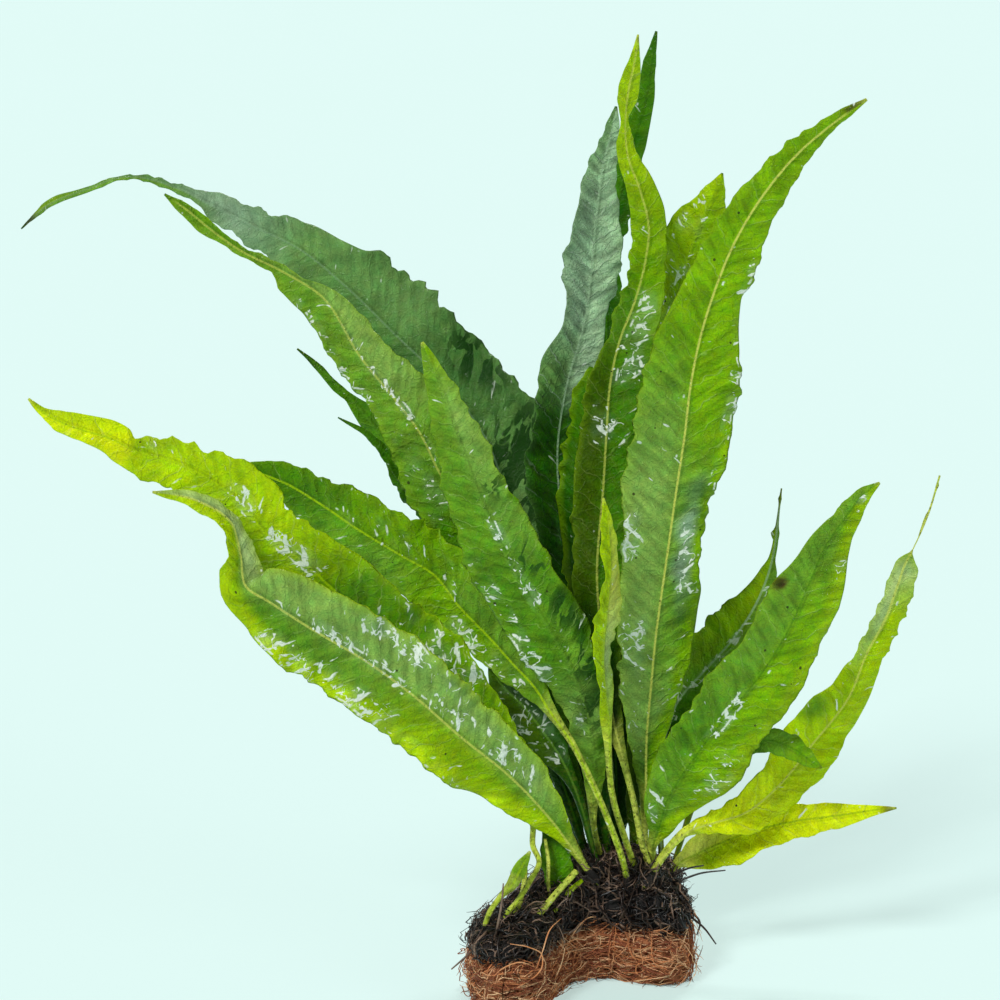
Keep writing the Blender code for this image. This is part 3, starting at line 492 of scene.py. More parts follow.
def leafRings(leaf, number):
    # rings of points round the leaf, and what each point needs for its colour
    shape = {**leafShape, **leaf.get("shape", {})}
    rows = [(*row, 0)[:5] + (k,) for k, row in enumerate(leaf["route"])]
    foot, second = np.array(rows[0][:3], float), np.array(rows[1][:3], float)
    seat = foot + unit(foot - second) * shape["seat"]
    places, even = evenRows([(*seat, *rows[0][3:5], -1)] + rows, shape["ringGap"])
    xyz, width = even[:, :3], np.maximum(even[:, 3], 0.5)
    side, face = routeAxes(xyz, even[:, 4])
    half = width[:, None] / 2
    flat = np.clip((width - shape["stalkWidth"]) / (shape["bladeFrom"] - shape["stalkWidth"]), 0, 1)
    widest = np.argmax(width)
    if width[widest] > 4:      # past its widest place the leaf stays flat to the tip
        flat[widest:] = np.maximum(flat[widest:], ease(0.6, 2.4, width[widest:]))
    flat = flat[:, None]
    half = half * (flat + (1 - flat) * shape["stalkShare"])
    taper, calmer, blunter = (np.minimum(1, width / shape[key])[:, None]
                              for key in ("fullRib", "fullRipple", "fullTeeth"))
    s = acrossSteps[None, :]
    mag = np.abs(s)
    length = places[:, None]
    phase = 1.3 * (number + 1)      # every leaf's waves start elsewhere, and its two halves differ
    swell = np.minimum(width * shape["swellShare"], shape["swellMost"])[:, None]
    wave = swell * np.sin(2 * np.pi * length / shape["swellLength"] + phase + np.where(s > 0, 2.1, 0))
    beat = length / shape["rippleLength"] + 0.8 * np.sin(length / 17 + phase)
    beat = beat + 0.4 * np.sin(length / 7.3 + 2 * phase)
    sideBeat = 2 * np.pi * beat * np.where(s > 0, 1.0, 0.93) + np.where(s > 0, 1.7, 0.0) + phase
    calm = np.sin(length / 19 + 2.2 * phase + np.where(s > 0, 1.9, 0)) * np.sin(length / 7.9 + phase)
    calm = 0.6 + 0.4 * calm
    frill = (np.sin(sideBeat) + 0.3 * np.sin(2.3 * sideBeat + 1)) * calm
    ripple = shape["rippleHeight"] * ease(0.35, 1.0, mag) ** 1.4 * calmer * frill
    cusp = 0.9 - 1.7 * np.abs(np.sin(sideBeat / 2 + 0.3))      # folds seen edge on end in small teeth
    nick = 0.6 * np.cos(sideBeat + 0.5) + 0.35 * cusp + 0.6 * np.sin(0.37 * sideBeat + 2 * phase)
    nick = nick + 0.3 * np.sin(3.1 * sideBeat)
    push = shape["edgePush"] * mag**3 * blunter * nick * calm
    quiltBeat = (length - 0.75 * mag * half) / shape["quiltLength"]
    quiltBeat = quiltBeat + 0.4 * np.sin(length / 11 + 3 * s + phase)
    quilt = shape["quiltHeight"] * taper * np.sin(2 * np.pi * quiltBeat) * 4 * mag * (1 - mag)
    lift = mag * shape["gutter"] * width[:, None] * 2 * (1 - 0.5 * mag) + mag**1.5 * wave + ripple + quilt
    trims = leaf.get("trim", [(0, 1, 1)])
    trim = [np.interp(even[:, 5], [row[0] for row in trims], [row[k] for row in trims])[:, None]
            for k in (1, 2)]
    sideways = half * (np.sin(np.pi * s / 2) * (1 - flat) + s * flat) * np.where(s < 0, trim[0], trim[1])
    sideways = sideways + np.sign(s) * push * flat
    offRib = (s * half) ** 2
    skin = shape["thick"] / 2 * (1 - 0.6 * mag**3) * (mag < 1)
    bulge = half * np.cos(np.pi * s / 2) * (1 - flat)
    top = bulge + (skin + shape["ribAbove"] * taper * np.exp(-offRib / 0.25) + lift) * flat
    low = -bulge + (-skin - shape["ribBelow"] * taper * np.exp(-offRib / 0.6) + lift) * flat
    across, up = around(sideways, sideways), around(top, low)
    rings = xyz[:, None, :] + side[:, None, :] * across[..., None] + face[:, None, :] * up[..., None]
    s = np.broadcast_to(s, sideways.shape)
    spread = lambda column: np.broadcast_to(column, across.shape)
    return rings, {"s": around(s, s), "u": across, "v": spread(length), "half": spread(half),
                   "flat": spread(flat), "station": spread(even[:, 5:6])}


def toneAlong(stops, info):
    # colour between stops: station, and one green, or one left of the midrib and one right of it
    at = [stop[0] for stop in stops]
    sides = []
    for k in (1, 2):
        tones = np.array([srgb(greens[stop[:k + 1][-1]]) for stop in stops])
        sides.append(np.stack([np.interp(info["station"], at, tones[:, c]) for c in range(3)], -1))
    mix = ease(-0.3, 0.3, info["s"])[..., None]
    return sides[0] * (1 - mix) + sides[1] * mix


def spot(info, station, s, reach):
    # weight 1 in the middle of a round patch on the leaf, falling to 0 at its reach
    middle = np.interp(station, info["station"][:, 0], info["v"][:, 0])
    away = np.hypot(info["v"] - middle, (info["s"] - s) * info["half"])
    return 1 - ease(0.4 * reach, reach, away)


def leafName(node):
    words = node.split("_")
    return words[0] + "".join(word.capitalize() for word in words[1:])


def makeLeaf(node, leaf, number):
    rings, info = leafRings(leaf, number)
    mesh = ringMesh(leafName(node), rings)
    stalk = (1 - info["flat"])[..., None]
    tone = toneAlong(leaf["tones"], info)
    for station, s, reach, green in leaf.get("patches", []):
        weight = spot(info, station, s, reach)[..., None]
        tone = tone * (1 - weight) + srgb(greens[green]) * weight
    inside = (1 - np.abs(info["s"])) * info["half"]
    for side, green, reach in leaf.get("edges", []):
        weight = ((1 - ease(0.2 * reach, reach, inside)) * ease(-0.2, 0.2, side * info["s"]))[..., None]
        tone = tone * (1 - weight) + srgb(greens[green]) * weight
    tone = tone * (1 - stalk) + srgb(greens[leaf.get("stalk", "stem")]) * stalk
    # painted glint and painted sheen: bands where water stands, and a little everywhere
    wet = np.full(info["s"].shape, leafShape["damp"])
    for start, end, s, reach, amount in leaf.get("wet", []):
        along = ease(start - 0.4, start + 0.4, info["station"])
        along = along * (1 - ease(end - 0.4, end + 0.4, info["station"]))
        wet = np.maximum(wet, amount * along * (1 - ease(0.5 * reach, reach, np.abs(info["s"] - s))))
    blotch = np.zeros(info["s"].shape)
    for station, s, reach, amount in leaf.get("blotches", []):
        blotch = np.maximum(blotch, amount * spot(info, station, s, reach))
    count = tone.shape[0] * tone.shape[1]
    rib, ribShow = leaf.get("rib", ("straw", 0.8))
    end = len(leaf["route"]) - 1
    ribShow = ribShow * (1 - ease(end - 0.8, end - 0.3, info["station"])).ravel()     # it fades at the tip
    margin, marginShow = leaf.get("margin", ("apple", 0.6))
    colours = {"leafTone": np.c_[tone.reshape(-1, 3), np.ones(count)],
               "ribTone": np.c_[np.tile(srgb(greens[rib]), (count, 1)), ribShow],
               "marginTone": np.tile((*srgb(greens[margin]), marginShow), (count, 1))}
    for name, data in colours.items():
        mesh.attributes.new(name, "FLOAT_COLOR", "POINT").data.foreach_set("color", data.ravel())
    toMargin = inside + 5 * (1 - info["flat"])     # a stalk has no margin
    for name, data in (("toMargin", toMargin), ("stalkShare", 1 - info["flat"]), ("wetShare", wet),
                       ("blotchShare", blotch)):
        values = np.ascontiguousarray(data).ravel()
        mesh.attributes.new(name, "FLOAT", "POINT").data.foreach_set("value", values)
    corner = np.zeros(len(mesh.loops), np.int32)
    mesh.loops.foreach_get("vertex_index", corner)
    uv = np.stack([info["u"].ravel(), (info["v"] + leafShape["patternStep"] * number).ravel()], 1)
    mesh.uv_layers.new(name="bladeMm").data.foreach_set("uv", uv[corner].ravel())
    mesh.materials.append(skins[leaf["skin"]])
    piece = addPiece(leafName(node), mesh)
    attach(piece, "root")
    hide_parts(node)


# Each leaf, seen from the front. route: stations of the midrib from the stalk's foot to the tip (x, y, z,
# width, and the degrees that it is turned). tones: station, and a green or one for each half. patches, round:
# station, place across from -1 to 1, reach, green. blotches, round and dark: station, place across, reach,
# how dark. edges: half, green, reach. wet glints, bands where water stands, shown as painted glints and
# painted
# sheen: from station, to station, place across, reach across, how wet. trim: station, share of each half that
# is
# kept. rib and margin: green, how strong. stalk: green
leaves = {
    "frond_back_long": {
        "route": [(6, 12, 29, 2.6), (2, 18, 50, 7), (-7, 35, 80, 13.5, 10), (-20, 56, 123, 26, 12),
                  (-32, 68, 162.5, 38, 14), (-50.5, 78, 184, 39.5, 10), (-61.5, 82, 194, 37, 5),
                  (-78, 87, 209.5, 29.5), (-94, 91, 222, 20.5), (-110.5, 93, 230, 13.5),
                  (-124, 94, 236.5, 9, 10), (-136, 94, 242.5, 5, 25), (-154, 92, 246.5, 4, 35),
                  (-165, 90, 243, 4, 35), (-180, 88, 237, 4.4, 25), (-188, 86, 230, 1)],
        "tones": [(2, "night"), (2.8, "bottle", "blue"), (3.4, "bottle", "sheen"), (4.6, "blue"),
                  (6, "blue", "sheen"), (8, "sheen"), (9.4, "ash"), (10.5, "sheen", "ash"),
                  (11.5, "grass", "sheen"), (13, "grass"), (14.2, "grass", "apple"), (14.5, "umber")],
        "blotches": [(2.9, 0.2, 28, 1.0), (3.6, 0.6, 28, 1.0), (4.6, 0.9, 18, 1.0)],
        "trim": [(4, 1, 1), (4.6, 1, 0.93), (5.3, 1, 0.93), (5.9, 1, 1.06), (6.9, 1, 1.06), (7.6, 1, 0.93),
                 (8.3, 1, 0.93), (9, 0.9, 1), (10, 0.8, 1), (11, 0.6, 0.7), (12, 0.55, 0.5),
                 (13, 0.5, 0.45), (13.8, 0.6, 0.6), (15, 0.6, 0.6)],
        "shape": {"quiltHeight": 0.06, "edgePush": 1.8, "rippleLength": 11.5, "rippleHeight": 0.75},
        "rib": ("ash", 0.3), "margin": ("sheen", 0.5), "skin": "darkWetLeaf", "slot": "dark_leaf",
        "stalk": "bottle",
    },
    "frond_left_bright": {
        "route": [(5.5, 6.2, 31, 2.6), (-2, 8, 60, 5), (-13, 14, 92, 10.5), (-27, 20, 118, 19.5, 5),
                  (-38.2, 26, 145, 25.5, 8), (-46.8, 30, 159, 26.5, 8), (-53, 34, 171, 24.5, 5),
                  (-60.7, 37, 181, 24), (-72, 42, 194, 22.5), (-85.5, 48, 214, 17), (-98, 52, 221, 10, 15),
                  (-112.5, 54, 228, 6.5, 25), (-122, 56, 234.5, 6, 20), (-130, 57, 241, 5, 20),
                  (-137, 58, 246, 1)],
        "tones": [(2, "night", "bottle"), (3.4, "deep"), (4.4, "leaf"), (6, "grass"),
                  (7.5, "grass", "meadow"), (9, "grass", "meadow"), (11, "grass", "leaf"), (14, "leaf")],
        "wet": [(2.6, 5, 0.4, 0.5, 0.7), (3.6, 6.5, -0.5, 0.5, 0.5), (5, 9, 0.05, 0.16, 0.72),
                (7, 9.5, -0.85, 0.25, 0.7)],
        "trim": [(5, 1, 1), (6.2, 0.9, 1), (7.2, 0.72, 1), (8, 0.72, 0.85), (8.7, 0.9, 0.7), (9.5, 1, 0.3),
                 (9.9, 1, 0.35), (10.2, 0.45, 0.5), (11.4, 0.5, 0.6), (12.2, 1, 0.8), (14, 1, 0.8)],
        "rib": ("straw", 0.5), "margin": ("apple", 0.6), "skin": "wetGreenLeaf", "slot": "mature_leaf",
        "stalk": "olive",
    },
    "frond_front_tall": {
        "route": [(7, 2, 33, 2.6), (4, 2, 47, 2.6), (4, 0, 66, 8), (1, -5, 88, 15), (-3, -10, 101, 19.5),
                  (-11, -14, 117, 25.5, -5), (-21, -16, 134, 26, -8), (-34, -16, 163, 20.5, -5),
                  (-42, -16, 186, 13), (-47, -15, 200, 7), (-51, -14, 210, 1.2)],
        "tones": [(1.4, "bottle", "deep"), (2.0, "grass"), (3, "meadow"), (4.4, "leaf", "grass"),
                  (6, "leaf"), (8, "grass", "meadow"), (10, "grass", "fresh")],
        "patches": [(2.4, 1.0, 6, "bottle"), (3.2, 1.05, 7, "bottle"), (4, 1.05, 8, "bottle"),
                    (4.7, 1.05, 8, "bottle"), (5.4, 1.1, 7, "bottle"), (6.1, 1.1, 5.5, "deep"),
                    (6.8, 1.1, 4, "deep")],
        "blotches": [(3, 0.8, 12, 1.0), (4.2, 0.8, 12, 1.0), (5.2, 0.8, 11, 1.0), (6.2, 0.7, 9, 1.0),
                     (7, 0.7, 7, 0.9)],
        "wet": [(3.6, 6.4, -0.75, 0.35, 0.85), (5.4, 6.8, 0.1, 0.25, 0.75), (2.4, 4, -0.5, 0.4, 0.6)],
        "rib": ("grass", 0.35), "margin": ("apple", 0.5), "skin": "wetGreenLeaf", "slot": "mature_leaf",
    },
    "frond_dark_sheen": {
        "route": [(8, 9, 31, 2.6), (7, 12, 52, 7.5, 10), (3, 18, 84, 13, 20), (-2, 24, 110, 16, 25),
                  (-6.5, 30, 142, 22, 30), (-8, 34, 165, 23.5, 30), (-5, 37, 186, 21.5, 28),
                  (1, 40, 207, 16, 25), (3, 42, 223, 20, 25), (4.7, 43, 242, 17, 25), (7, 43, 259, 9, 20),
                  (10, 42, 271, 4.5, 10), (11, 42, 277, 1)],
        "tones": [(2, "night"), (3.2, "bottle"), (5.5, "bottle"), (6.2, "sheen", "silver"),
                  (7, "ash", "silver"), (9, "ash", "silver"), (12, "sheen", "silver")],
        "wet": [(3.5, 5, 0, 0.8, 0.35)],
        "shape": {"rippleHeight": 0.75, "rippleLength": 11.0, "quiltHeight": 0.04},
        "rib": ("silver", 0.7), "margin": ("sheen", 0.5), "skin": "silverSheenLeaf", "slot": "dark_leaf",
        "stalk": "bottle",
    },
    "frond_back_narrow": {
        "route": [(11, 15, 29, 2.6), (12, 20, 49, 7), (11, 32, 80, 9), (11, 48, 124, 10.5, -20),
                  (11, 60, 170, 14, -25), (9, 67, 202, 13, -25), (9, 71, 227, 11, -20),
                  (13.5, 73, 245, 11.5, -15), (17.5, 74, 262, 10, -10), (21.5, 74, 277, 6.5),
                  (23, 73, 288, 4), (25, 72, 298, 1)],
        "tones": [(2, "night"), (5, "bottle"), (7, "deep", "bottle"), (9, "deep"), (11, "bottle")],
        "trim": [(0, 1, 1), (0.45, 1.4, 2.2), (1, 1, 1.5), (3, 1, 1.5), (4.5, 1, 1)],
        "rib": ("deep", 0.4), "margin": ("leaf", 0.5), "skin": "darkWetLeaf", "slot": "dark_leaf",
        "stalk": "bottle",
    },
    "frond_yellow_top": {
        "route": [(24, -5, 30, 2.6), (20, -5, 41, 2.6), (17, -5, 56, 2.6), (14, -3, 68, 3),
                  (10, 2, 84, 7, -5), (7, 6, 105, 13, -10), (5, 10, 127, 18.5, -12), (7, 14, 158, 23, -12),
                  (8, 16, 176, 25, -12), (9, 18, 190, 25.5, -10), (12, 20, 204, 23.5, -8),
                  (17, 22, 217, 18.5, -5), (20, 22, 229, 14), (21, 22, 241, 11, 10), (18, 21, 253, 9.5, 15),
                  (14, 20, 264, 7.5, 20), (13, 19, 276, 5.5, 45), (14, 18, 285, 5.5, 20),
                  (16, 17, 295, 3, 10), (17, 16, 303, 0.8)],
        "tones": [(4, "night"), (5, "bottle"), (6, "olive", "deep"), (9, "olive", "deep"),
                  (11, "leaf", "grass"), (12, "fresh"), (14, "apple"), (15.5, "lime"),
                  (19, "lime", "apple")],
        "wet": [(9, 11.4, 0.4, 0.6, 0.6), (7.6, 8.6, 0, 0.8, 0.58)],
        "trim": [(5, 1, 1), (6, 0.85, 1), (7.5, 0.8, 1), (8.5, 0.65, 1), (10, 0.35, 1), (11.5, 0.6, 1),
                 (13, 1, 1), (15.4, 1, 1), (16, 0.45, 0.45), (16.7, 1.4, 1.3), (17.6, 1.4, 1.4), (19, 1, 1)],
        "rib": ("straw", 0.6), "margin": ("apple", 0.6), "skin": "youngYellowLeaf", "slot": "young_leaf",
    },
    "frond_curled_edge": {
        "route": [(9, 5, 32, 2.6), (7, 7, 57, 5), (5, 12, 86, 8.5, -10), (3, 17, 112, 12, -20),
                  (0, 22, 138, 15, -30), (0, 25, 158, 16.5, -35), (1, 27, 174, 13.5, -35),
                  (2, 28, 186, 8.5, -30), (3, 28, 194, 1.4, -20)],
        "tones": [(3, "night"), (4.5, "bottle"), (6, "deep")],
        "shape": {"rippleLength": 8.0, "edgePush": 1.5, "rippleHeight": 1.6},
        "rib": ("bottle", 0.4), "margin": ("apple", 1.0), "skin": "darkWetLeaf", "slot": "dark_leaf",
        "stalk": "bottle",
    },
    "frond_right_big": {
        "route": [(23, 4, 30, 2.6), (21, 3, 41, 2.6), (21, 2, 58, 5), (21, 0, 78, 13, 5),
                  (22, -2, 93, 19.5, 8), (23.5, -4, 113, 23.5, 10), (25.3, -5, 128, 22, 10),
                  (27.3, -6, 144, 22.5, 10), (29.4, -7, 161, 26.5, 10), (31.8, -8, 179, 30.5, 10),
                  (33.5, -8, 195, 32, 10), (36.3, -8, 210, 26.5, 8), (41, -8, 226, 20, 5),
                  (46.5, -8, 240, 18.5, 5), (56, -9, 256.5, 13, 5), (66, -10, 269, 8.5, 10),
                  (76, -11, 278, 4.5, 15), (87, -12, 286, 1)],
        "tones": [(2.2, "bottle"), (3, "meadow", "grass"), (3.6, "meadow"), (4.6, "meadow", "grass"),
                  (8, "meadow", "grass"), (10, "grass", "fresh"), (12, "fresh"), (14, "fresh"),
                  (16.3, "fresh"), (16.5, "umber")],
        # the sheen and ash patches are painted sheen on a pleated fold, and the blotches over them painted
        # shade in its pleats
        "patches": [(8.0, 0.8, 10, "sheen"), (7.3, 0.8, 10, "ash"), (6.5, 0.85, 10, "ash"),
                    (5.7, 0.9, 8, "sheen")],
        "blotches": [(7.6, 0.8, 14, 0.45), (6.4, 0.85, 14, 0.45), (5.2, 0.9, 9, 0.5)],
        "edges": [(1, "fresh", 6)],
        "wet": [(3, 5.4, -0.6, 0.5, 0.66), (6.4, 7.8, -0.85, 0.35, 0.76), (3.4, 4.4, 0.6, 0.5, 0.55),
                (5.8, 7.8, 0.6, 0.4, 0.62), (8, 13, 0.9, 0.2, 0.6)],
        "trim": [(4, 1, 1), (5, 1.1, 1.05), (6, 1.25, 1.05), (7, 1.4, 0.95), (8, 1.35, 0.92), (9.3, 1.1, 1),
                 (10, 1, 1), (14, 1, 1), (16, 1.4, 1)],
        "rib": ("straw", 0.95), "margin": ("apple", 0.6), "skin": "wetGreenLeaf", "slot": "mature_leaf",
    },
    "frond_right_inner": {
        "route": [(18, 12, 30, 2.6), (20, 15, 51, 6.5), (22, 22, 83, 9.5, -10), (24, 28, 116, 12.5, -20),
                  (26, 32, 149, 16.5, -25), (27, 34, 182, 18, -25), (29, 34, 205, 17.5, -20),
                  (33, 33, 224, 21, -15), (37.5, 31, 239, 18, -10), (42, 30, 249.5, 9), (45, 30, 257, 0.8)],
        "tones": [(2.5, "night"), (4, "bottle"), (5, "leaf"), (6.5, "apple", "fresh"),
                  (10, "lime", "apple")],
        "wet": [(6, 9, -0.3, 0.7, 0.6)],
        "trim": [(0, 1, 1), (0.45, 2.3, 1.4), (1, 1.6, 1), (2.2, 1.2, 1), (3, 1, 1)],
        "rib": ("apple", 0.7), "margin": ("apple", 0.6), "skin": "youngYellowLeaf", "slot": "mature_leaf",
        "stalk": "olive",
    },
    "frond_folded_narrow": {
        "route": [(18, -7, 33, 2.6), (14, -7.5, 45, 2.6), (10, -9, 59, 2.6, 10), (8, -12, 80, 3.5, 30),
                  (7, -15, 94, 7.5, 50), (6, -17, 109, 12, 58), (7, -18, 124, 14, 60),
                  (8, -19, 141, 12, 58), (7, -19, 153, 5, 50), (6, -19, 161, 0.8, 40)],
        "tones": [(3, "lime"), (5, "lime", "pale"), (6.5, "lime", "straw"), (9, "lime")],
        "wet": [(4.5, 7, 0.5, 0.5, 0.35)],
        "rib": ("lime", 0.6), "margin": ("lime", 0.7), "skin": "wetGreenLeaf", "slot": "mature_leaf",
    },
    "frond_right_low": {
        "route": [(26, 0, 30, 2.6), (23, -5, 41, 3.2), (25, -8.5, 49, 7.5), (27, -11, 58, 15),
                  (35.5, -17, 75, 23.5, 5), (46, -20, 90.5, 26, 8), (57, -23, 106, 26.5, 10),
                  (65, -25, 121, 24.5, 10), (71, -26, 136, 21.5, 10), (76, -26, 148, 16, 8),
                  (82, -26, 157, 9.5, 5), (87, -27, 164, 5.5), (92, -28, 168, 1)],
        "tones": [(1.6, "leaf"), (3, "grass"), (4.4, "leaf", "fresh"), (6, "grass", "fresh"), (9, "grass"),
                  (12, "grass", "fresh")],
        "patches": [(7.75, -0.84, 3.4, "brown"), (7.75, -0.84, 2.6, "umber")],
        "edges": [(1, "apple", 6)],
        "wet": [(1.8, 3.4, -0.5, 0.4, 0.66), (4.4, 5.6, 0, 0.25, 0.7), (3.4, 4.6, 0.6, 0.4, 0.62),
                (8.2, 9, 0.75, 0.3, 0.95), (10.4, 11.2, 0.3, 0.5, 0.7)],
        "trim": [(1, 1, 1), (2, 1, 1.15), (3, 1, 1.35), (4, 1, 1.35), (5, 1, 1.15), (6, 1, 1), (7.5, 1, 1),
                 (8.5, 0.84, 1), (10.5, 0.76, 1), (12, 1, 1)],
        "shape": {"edgePush": 0.55, "rippleHeight": 0.8},
        "rib": ("deep", 0.5), "margin": ("apple", 0.45), "skin": "wetGreenLeaf", "slot": "mature_leaf",
    },
    "frond_right_dark": {
        "route": [(27, 9, 28, 2.6), (26, 9, 46, 3.2), (27, 12, 69, 12, -10), (32, 15, 85, 19.5, -15),
                  (40, 17, 94, 23, -20), (50, 19, 105, 21, -20), (56, 20, 114, 15.5, -15), (61, 21, 126, 7),
                  (63, 21, 135, 3), (64, 21, 145, 1.3), (65, 21, 155, 0.8)],
        "tones": [(1.6, "night"), (2.4, "bottle"), (3.5, "grass", "leaf"), (6, "apple", "grass"),
                  (8, "apple", "grass"), (10, "olive")],
        "wet": [(2, 3.6, -0.3, 0.6, 0.72), (3.4, 6.4, 0.05, 0.16, 0.85), (5.4, 7, 0.4, 0.5, 0.6)],
        "trim": [(7.2, 1, 1), (7.6, 0.7, 0.6), (8.3, 0.8, 0.8), (8.5, 2.2, 1.2), (8.7, 0.8, 0.8),
                 (9.5, 0.8, 0.8), (9.65, 2.0, 1.4), (9.8, 0.8, 0.8)],
        "rib": ("silver", 0.6), "margin": ("grass", 0.5), "skin": "darkWetLeaf", "slot": "dark_leaf",
        "stalk": "darkStem",
    },
    "frond_right_outer": {
        "route": [(22, -11.5, 33, 2.8), (26, -11.5, 40, 3.2), (34, -9, 48, 4.2), (43, -6, 50, 8),
                  (53, -2, 52, 13.5), (64.5, 3, 60, 18, 5), (75.3, 7, 72.7, 18, 10), (87.3, 10, 88, 15, 10),
                  (93, 11, 102.5, 12.5, 5), (98.8, 11, 114, 11), (102.7, 11, 126, 9.4),
                  (104.8, 11, 132.5, 8), (106.6, 11, 136, 1.2), (112, 10, 150, 0.8), (115, 9, 162, 0.8)],
        "tones": [(2, "lemon"), (4, "lemon"), (6, "lime"), (7.4, "apple", "lime"), (9, "pale", "lime"),
                  (10.5, "pale"), (12, "grass"), (14, "olive", "brown")],
        "patches": [(6.5, -1.1, 8, "leaf")],
        "wet": [(4.5, 6, 0.3, 0.4, 0.4), (1.5, 3, 0, 0.9, 0.4)],
        "trim": [(5.6, 1, 1), (6.3, 1.35, 1), (6.65, 1.3, 1), (7.05, 0.85, 0.93), (7.6, 0.65, 0.85),
                 (8.6, 0.7, 0.95), (9.2, 0.75, 1.1), (11, 0.7, 1.1), (12, 0.8, 1), (12.7, 1, 1),
                 (12.85, 4, 1.5), (13, 1, 1), (13.6, 1, 1), (13.7, 1.2, 2.4), (13.8, 1, 1)],
        "rib": ("straw", 0.7), "margin": ("lime", 0.6), "skin": "youngYellowLeaf", "slot": "young_leaf",
    },
    "frond_right_lowest": {
        "route": [(28, 4, 27, 2.6), (31, 4, 32, 3.5), (39, 5, 36, 12, -20), (51, 6, 41, 16.5, -25),
                  (62, 6, 44.7, 13.5, -25), (73, 6, 47, 11, -20), (85, 5, 49, 7.5, -10), (95, 4, 51, 4),
                  (103, 3, 52, 0.8)],
        "tones": [(1.4, "straw"), (2.2, "straw", "lime"), (3.6, "lemon"), (6, "lemon"), (7.2, "lemon"),
                  (7.6, "brown")],
        "rib": ("apple", 0.6), "margin": ("lemon", 0.6), "skin": "youngYellowLeaf", "slot": "young_leaf",
    },
    "frond_left_big": {
        "route": [(3, -12, 34, 2.6), (-3, -15, 44, 4), (-11.2, -19, 56.3, 10.5), (-23.3, -24, 71, 19, 5),
                  (-39.6, -30, 86.5, 27, 8), (-53, -34, 100, 29, 8), (-67, -38, 112, 29.5, 8),
                  (-87, -43, 126, 28.5, 5), (-98, -45, 134, 24, 5), (-105.5, -45, 139, 16.5, 25),
                  (-107.3, -42, 148, 12.5, 45), (-110.3, -40, 158, 8.7, 50), (-121, -40, 165, 6, 45),
                  (-134, -41, 168, 0.9, 20)],
        "tones": [(1.5, "leaf"), (2.5, "grass", "meadow"), (4, "apple", "meadow"), (6, "grass", "meadow"),
                  (8, "leaf", "meadow"), (8.8, "grass", "meadow"), (10, "grass", "pale"), (13, "pale")],
        "edges": [(-1, "lime", 8)],
        "wet": [(2.6, 5.2, 0.4, 0.5, 0.62), (4.4, 6.4, 0.75, 0.3, 0.85), (5, 8, 0.1, 0.2, 0.72),
                (5, 7.8, -0.75, 0.4, 0.8), (3.4, 5, -0.8, 0.25, 0.6)],
        "trim": [(1.3, 1, 1), (2, 1.1, 1.25), (2.8, 1.22, 1.18), (3.4, 1.12, 1.08), (4, 1.06, 1),
                 (5.5, 1.05, 1), (7, 1, 1)],
        "rib": ("straw", 0.7), "margin": ("lime", 0.9), "skin": "wetGreenLeaf", "slot": "mature_leaf",
    },
    "frond_left_yellow": {
        "route": [(2, -5, 33, 2.6), (-2, -6, 42, 2.6), (-10, -9, 57, 5.2), (-21, -13, 74, 12, 5),
                  (-34.5, -17, 91.5, 22, 5), (-48.5, -20, 105.5, 28.5, 5), (-64, -23, 118, 28.5),
                  (-77.5, -25, 131.5, 27.5, -5), (-88, -27, 142, 25, -5), (-101, -28, 153, 22, -5),
                  (-107, -28, 161, 19, -5), (-117, -29, 169, 17), (-126, -29, 174, 16.5, 5),
                  (-136, -29, 177, 15.5, 20), (-142, -29, 179, 13, 35), (-147, -29, 182, 11, 15),
                  (-156, -29, 185, 9.5), (-164, -29, 188, 5.5), (-169, -29, 191, 3), (-173, -29, 195, 0.9)],
        "tones": [(2.2, "bottle"), (3.2, "deep", "fresh"), (6.9, "leaf"), (7.8, "apple"),
                  (9, "apple", "lime"), (12, "lime"), (13.7, "lime", "apple"), (14.2, "lemon"),
                  (19, "lemon", "lime")],
        "wet": [(7.4, 10.6, 0.1, 0.4, 0.8), (4, 6.4, 0.6, 0.5, 0.72), (12.6, 13.4, 0.6, 0.4, 0.6)],
        "trim": [(2, 1, 1), (3, 1, 0.75), (4.3, 1, 0.8), (5.2, 1, 1), (9, 1, 1), (10, 1, 1.3), (11, 1, 1.3),
                 (11.7, 1, 0.9), (13.3, 1, 0.8), (14, 1, 0.55), (14.5, 1, 0.9), (15.3, 0.9, 1.15),
                 (16, 0.7, 1.2), (17, 1, 1.2), (18, 1, 1)],
        "rib": ("lime", 0.6), "margin": ("lime", 0.6), "skin": "youngYellowLeaf", "slot": "young_leaf",
    },
    "frond_left_middle": {
        "route": [(15, -11, 31, 2.6), (13, -14, 40, 2.6), (9, -16, 52, 2.6), (2, -17, 69, 2.6),
                  (-4, -17, 81, 2.8), (-10.2, -12, 89, 4.4), (-16, -5, 96, 9), (-22.3, -1, 102, 13, -5),
                  (-29, 2, 109, 16, -8), (-40, 5, 120, 19.5, -10), (-47.6, 7, 129.5, 23, -10),
                  (-58.6, 8, 136, 23.5, -10), (-72.6, 11, 144, 21.5, -10), (-84.5, 14, 151.5, 18, -8),
                  (-96, 16, 158, 14.5, -5), (-106, 17, 161.5, 8), (-112, 18, 163, 1)],
        "tones": [(5, "leaf"), (7, "grass"), (9, "fresh", "grass"), (11.3, "grass", "fresh"), (13, "leaf"),
                  (15, "deep")],
        "wet": [(6, 9, -0.6, 0.5, 0.62), (9, 13, 0.3, 0.5, 0.4)],
        "trim": [(9.5, 1, 1), (11, 1, 1.2), (12, 1, 1.2), (13, 1, 1)],
        "rib": ("lime", 0.8), "margin": ("apple", 0.5), "skin": "wetGreenLeaf", "slot": "mature_leaf",
    },
    "frond_left_hidden": {
        "route": [(3, 9.5, 30, 2.6), (-5, 13, 55, 6), (-17, 22, 83, 8.5), (-30, 30, 108, 11.5, -15),
